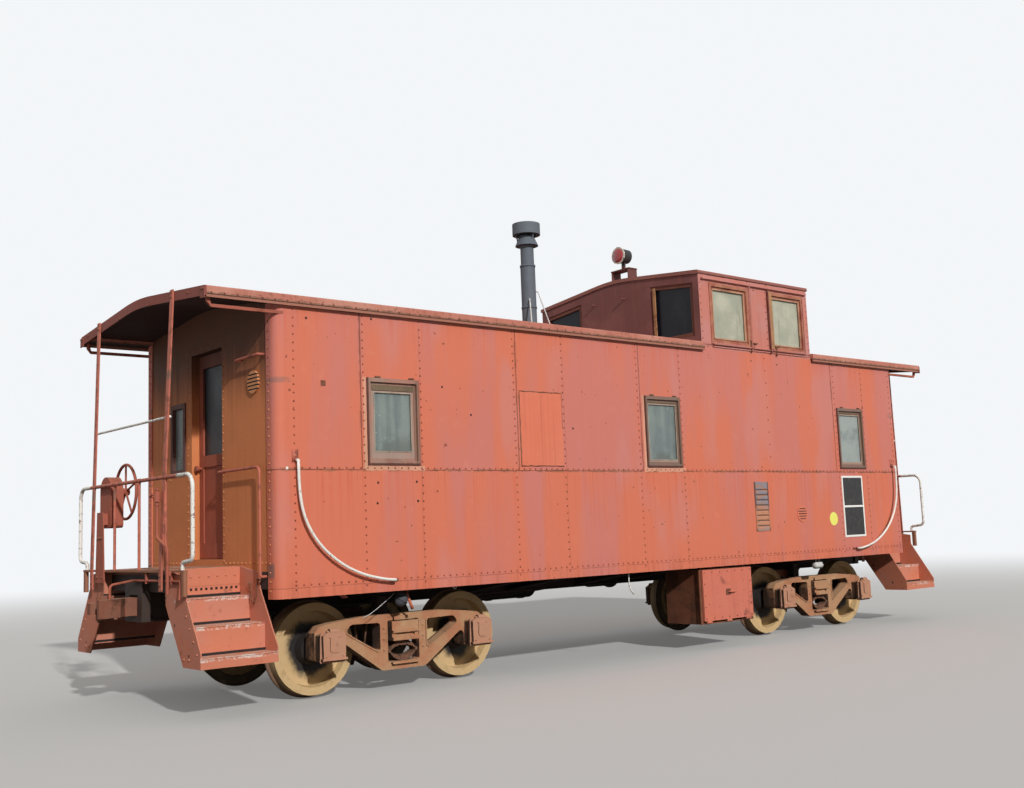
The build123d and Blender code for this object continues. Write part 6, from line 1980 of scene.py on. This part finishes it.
def grabIrons(look):
    # A round section along each rounded path: down, round and along the sides, and bent bars on the end walls
    face, radius = look["face"], look["radius"]
    out = face + look["stand"]
    sweep = rounded([(-x, -out, z) for x, z in look["sweep"]], 2)
    start, stop = sweep[0], sweep[-1]
    head = [(start[0], -face, start[2]), (start[0], -out + 0.02, start[2]),
            (start[0], -out + 0.004, start[2] - 0.003)]
    tail = [(stop[0] + 0.003, -out + 0.004, stop[2]), (stop[0] + 0.006, -out + 0.02, stop[2]),
            (stop[0] + 0.006, -face, stop[2])]
    iron = tube(np.vstack([head, sweep, tail]), radius, 12)
    wide, high, thick = look["foot"]
    low = start[2] - radius
    plate = slabs([(start[0] - wide / 2, start[0] + wide / 2, -face, -face - thick, low, low + high)])
    spots = [(start[0], low + share * high) for share in look["footHeads"]]
    heads = bolts(onSide(spots, -1, face + thick), (0, -1, 0), *look["footHead"])
    x, wall = -look["endFace"] - look["endStand"], -look["endFace"]
    y0, y1, z = look["upper"]
    upper = [(wall, y0, z), (x + 0.03, y0, z), (x, y0, z), (x, y0 - 0.03, z),
             (x, y1 + 0.03, z), (x, y1, z), (x + 0.03, y1, z), (wall, y1, z)]
    y0, y1, high, low = look["lower"]
    lower = [(wall, y0, high), (x + 0.03, y0, high), (x, y0, high), (x, y0 - 0.03, high),
             (x, y1 + 0.09, high), (x, y1 + 0.03, high), (x, y1, high - 0.03), (x, y1, high - 0.09),
             (x, y1, low + 0.03), (x, y1, low), (x + 0.03, y1, low), (wall, y1, low)]
    bars = [tube(rounded(path, 2), radius, 12) for path in (upper, lower)]
    near = joined([iron, plate, heads])
    shape = joined([near, acrossCar(near), *bars])
    piece = addPiece("grab_iron_bars", joined([shape, turnedEnd(shape)]), "grab", "white_paint", smooth=True)
    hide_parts("grab_irons")
    x0, x1, thick = look["lug"]
    lug = slabs([(-x1, -x0, -face, -face - thick, stop[2] - 0.014, stop[2] + 0.010)])
    inset, *size = look["lugHead"]
    head = bolts(onSide([(-x0 - inset, stop[2] - 0.002)], -1, face + thick), (0, -1, 0), *size)
    near = joined([lug, head])
    shape = joined([near, acrossCar(near)])
    addPiece("grab_iron_lugs", joined([shape, turnedEnd(shape)]), "weld", "white_paint")


grabIrons(ironLook)


# Battery door: rivets round its edge and the hasp plate under its handle

batteryLook = {
    "x": (0.608, 1.477),
    "z": (0.308, 0.885),
    "face": 1.390,
    "inset": 0.028,
    "pitches": (0.14, 0.13),
    "rivet": (0.0095, 0.006),
    "hasp": (1.000, 1.085, 0.585, 0.655),
    "haspThick": 0.005,
}


def batteryDetails(look):
    # Heads along the four edges, set in by the same step, and a flat box
    inset, face = look["inset"], look["face"]
    x0, x1 = look["x"][0] + inset, look["x"][1] - inset
    z0, z1 = look["z"][0] + inset, look["z"][1] - inset
    across, upright = look["pitches"]
    spots = [(x, z) for x in rows(x0, x1, across) for z in (z0, z1)]
    spots += [(x, z) for z in rows(z0, z1, upright)[1:-1] for x in (x0, x1)]
    heads = domes(onSide(spots, -1, face), (0, -1, 0), *look["rivet"])
    addPiece("battery_rivets", heads, "rivet", "side_red", body="battery_door", smooth=True)
    x0, x1, z0, z1 = look["hasp"]
    hasp = slabs([(x0, x1, -face, -face - look["haspThick"], z0, z1)])
    addPiece("battery_hasp", hasp, "weld", "side_red", body="battery_door", bevel=0.0015)


batteryDetails(batteryLook)


# Trucks: bolts on the side frames and box lids, lid pins and spring hangers, which turn with each truck

truckDetail = {
    "centre": 3.296,
    "arm": 0.838,
    "frameFace": 1.041,
    "frameBolts": ((0.222, 0.560), (0.222, 0.460), (0.222, 0.360), (-0.222, 0.560), (-0.222, 0.460),
                   (-0.222, 0.360)),
    "frameBolt": (0.014, 0.012),
    "lidFace": 1.187,
    "lidBolts": ((-0.085, 0.372), (0.085, 0.372), (-0.050, 0.540), (0.050, 0.540)),
    "lidBolt": (0.011, 0.010),
    "pin": (1.163, 0.588, 0.072, 0.010),
    "hangers": ((0.335, 0.300, 0.880), (0.395, 0.425, 0.845)),
    "hangerLow": 0.430,
    "hangerHigh": 0.660,
    "hangerRadius": 0.011,
}


def truckDetails(look):
    # Heads on both faces, a tube across the top of each lid, and slanted tubes at each end of the springs
    out, level, half, radius = look["pin"]
    low, high = look["hangerLow"], look["hangerHigh"]
    for end, body in ((-1, "truck_a"), (1, "truck_b")):
        centre = end * look["centre"]
        boxes = [centre + axle * look["arm"] for axle in (-1, 1)]
        shapes, hangers = [], []
        for side in (-1, 1):
            lids = onSide([(x + off, z) for x in boxes for off, z in look["lidBolts"]], side, look["lidFace"])
            frames = onSide([(centre + off, z) for off, z in look["frameBolts"]], side, look["frameFace"])
            shapes.append(bolts(lids, (0, side, 0), *look["lidBolt"]))
            shapes.append(bolts(frames, (0, side, 0), *look["frameBolt"]))
            for x in boxes:
                shapes.append(tube([(x + off, side * out, level) for off in (-half, 0, half)], radius))
            for way in (-1, 1):
                for foot, head, across in look["hangers"]:
                    y = side * across
                    path = [(centre + way * foot, y, low), (centre + way * head, y, high)]
                    hangers.append(tube(path, look["hangerRadius"]))
        addPiece(f"{body}_bolts", joined(shapes), "truck", "truck_dust", body=body)
        addPiece(f"{body}_hangers", joined(hangers), "truck", "truck_dust", body=body, smooth=True)


truckDetails(truckDetail)
print("truck details set")
